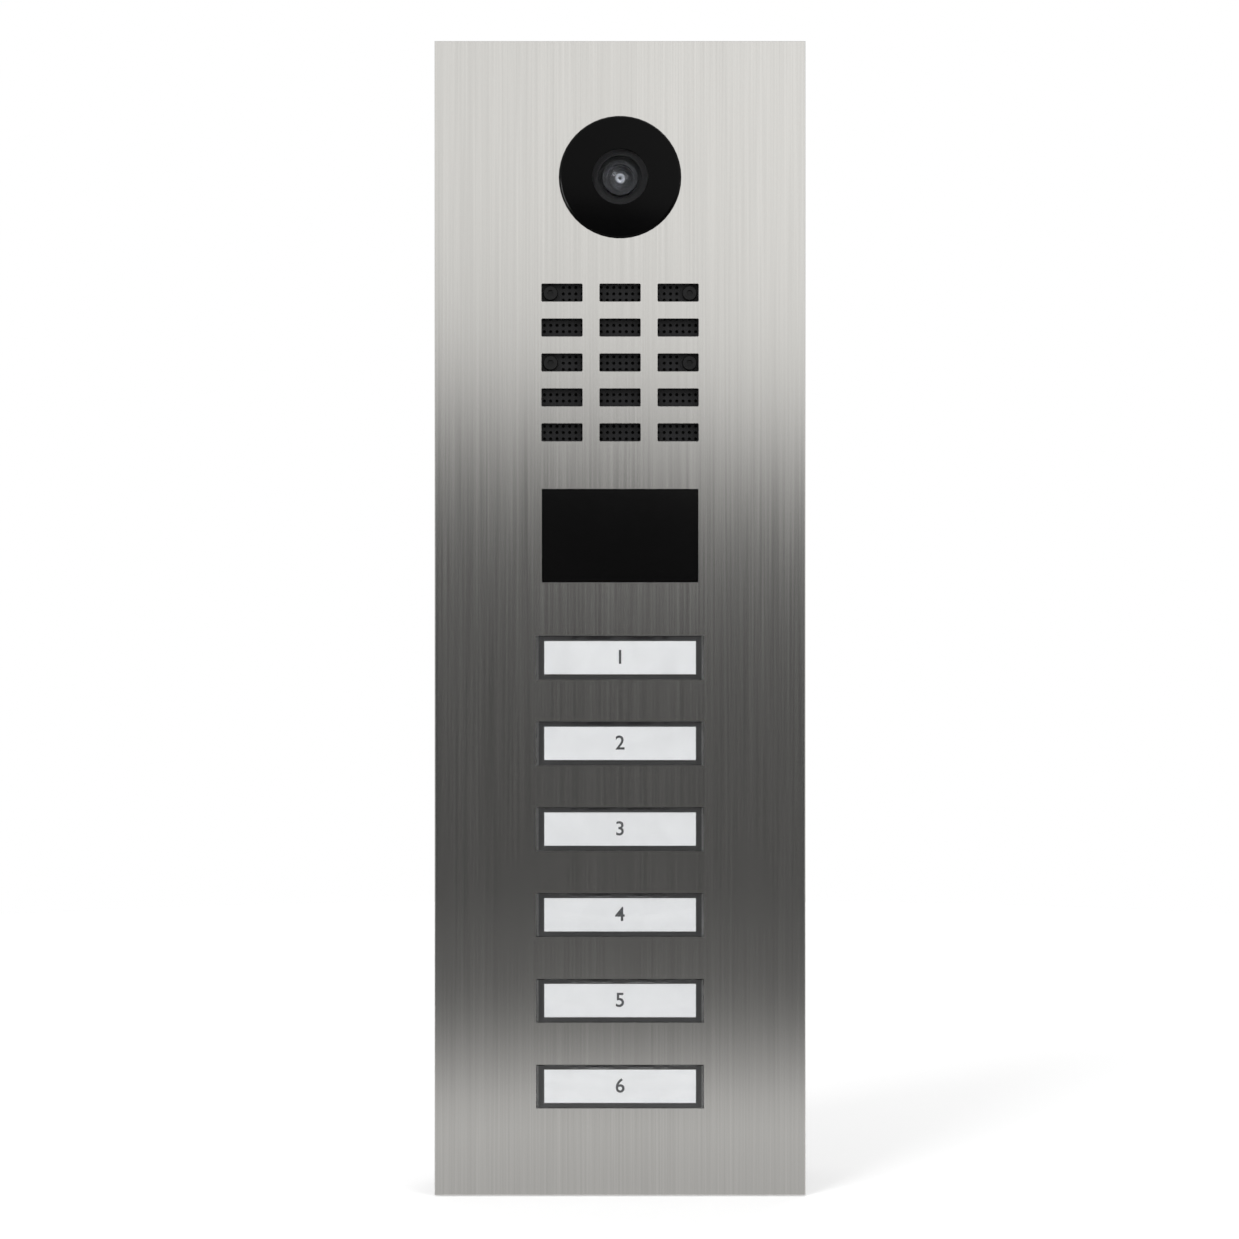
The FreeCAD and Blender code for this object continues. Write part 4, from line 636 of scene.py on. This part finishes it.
# ---- Reader window ----
# Polished black acrylic pane with a shallow step round its face, held from behind by the seal.
# The tag reader's board sits behind it.
window_black = moulded("window acrylic", (0.0012, 0.0012, 0.0013), (0.0019, 0.0019, 0.002),
                       roughness=0.08, grain_scale=240.0, flow_scale=10.0, bump=0.015, spread=0.04,
                       **{"Specular IOR Level": 0.35})
dress(window_black, "window_pane")
dress(seal_rubber, "front_seals")


# ---- Call buttons ----
# Six clear caps with a printed card behind each, on a light guide that carries the glow of two
# lamps; that glow is painted into the cards as their own emission. Each cap slides on a soft
# silicone dome.
clear_cap = clear("clear cap", (0.95, 0.955, 0.96), 0.03, 1.49, through=0.965)
light_guide = moulded("smoked light guide", (0.085, 0.087, 0.09), (0.11, 0.112, 0.115),
                      roughness=0.32, grain_scale=800.0, bump=0.1,
                      **{"Transmission Weight": 0.35})
# The cards' emission is painted glow: it stands for the light of the button lamps behind them and
# lifts the cards to white.
card_paper_painted_glow = moulded("white card painted glow", (0.83, 0.835, 0.84), (0.79, 0.795, 0.8), roughness=0.6,
                     grain_scale=3000.0, flow_scale=120.0, bump=0.1,
                     **{"Emission Color": (1.0, 1.0, 1.0, 1), "Emission Strength": 0.12})
dome_silicone = moulded("grey silicone", (0.33, 0.33, 0.34), (0.38, 0.38, 0.39), roughness=0.65,
                        bump=0.15)
number_ink = moulded("printed ink", (0.02, 0.021, 0.024), (0.03, 0.03, 0.034), roughness=0.55,
                     grain_scale=2600.0, bump=0.05)
BUTTONS = 6
NUMBER_HEIGHT = 0.0072
INK_THICKNESS = 0.00003
STROKE_GAIN = 0.00009

for button in range(1, BUTTONS + 1):
    body = f"button_{button}"
    dress(clear_cap, f"{body}_cap")
    dress(light_guide, f"{body}_light_guide")
    dress(card_paper_painted_glow, f"{body}_card")
    dress(dome_silicone, f"{body}_dome")
    card_low, card_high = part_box(f"{body}_card")
    card_middle = (card_low.z + card_high.z) / 2
    bpy.ops.object.select_all(action="DESELECT")
    bpy.ops.object.text_add(rotation=UPRIGHT,
                            location=(0, card_low.y - INK_THICKNESS, card_middle))
    text = bpy.context.object
    text.data.body = str(button)
    text.data.size = NUMBER_HEIGHT
    text.data.align_x = "CENTER"
    text.data.align_y = "CENTER"
    text.data.extrude = INK_THICKNESS
    text.data.offset = STROKE_GAIN
    bpy.ops.object.convert(target="MESH")
    number = own_place(bpy.context.object, f"button_{button}_number", number_ink)
    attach(number, body)


# ---- Boards and connectors ----
# Green circuit boards with their parts, the row of lamps behind the buttons, two screw terminal
# blocks and the network jack.
solder_mask = moulded("solder mask", (0.008, 0.12, 0.06), (0.012, 0.16, 0.08), roughness=0.3,
                      grain_scale=700.0, flow_scale=250.0, bump=0.15)
dress(solder_mask, "main_board", "camera_board", "infrared_board", "reader_board", "button_board")
chip_black = moulded("chip black", (0.025, 0.025, 0.026), (0.035, 0.035, 0.035), roughness=0.45,
                     bump=0.3)
dress(chip_black, "board_parts")
dress(zinc_plate, "network_jack")
lamp_white = moulded("white lamp resin", (0.8, 0.78, 0.66), (0.75, 0.72, 0.55), roughness=0.25,
                     bump=0.05)
dress(lamp_white, "button_leds")
terminal_green = moulded("terminal green", (0.02, 0.3, 0.1), (0.03, 0.36, 0.13), roughness=0.4,
                         bump=0.2)
dress(terminal_green, "terminal_blocks")
guide_white = moulded("guide plastic", (0.72, 0.72, 0.71), (0.78, 0.78, 0.77), roughness=0.45,
                      bump=0.2)
dress(guide_white, "guide_plate")
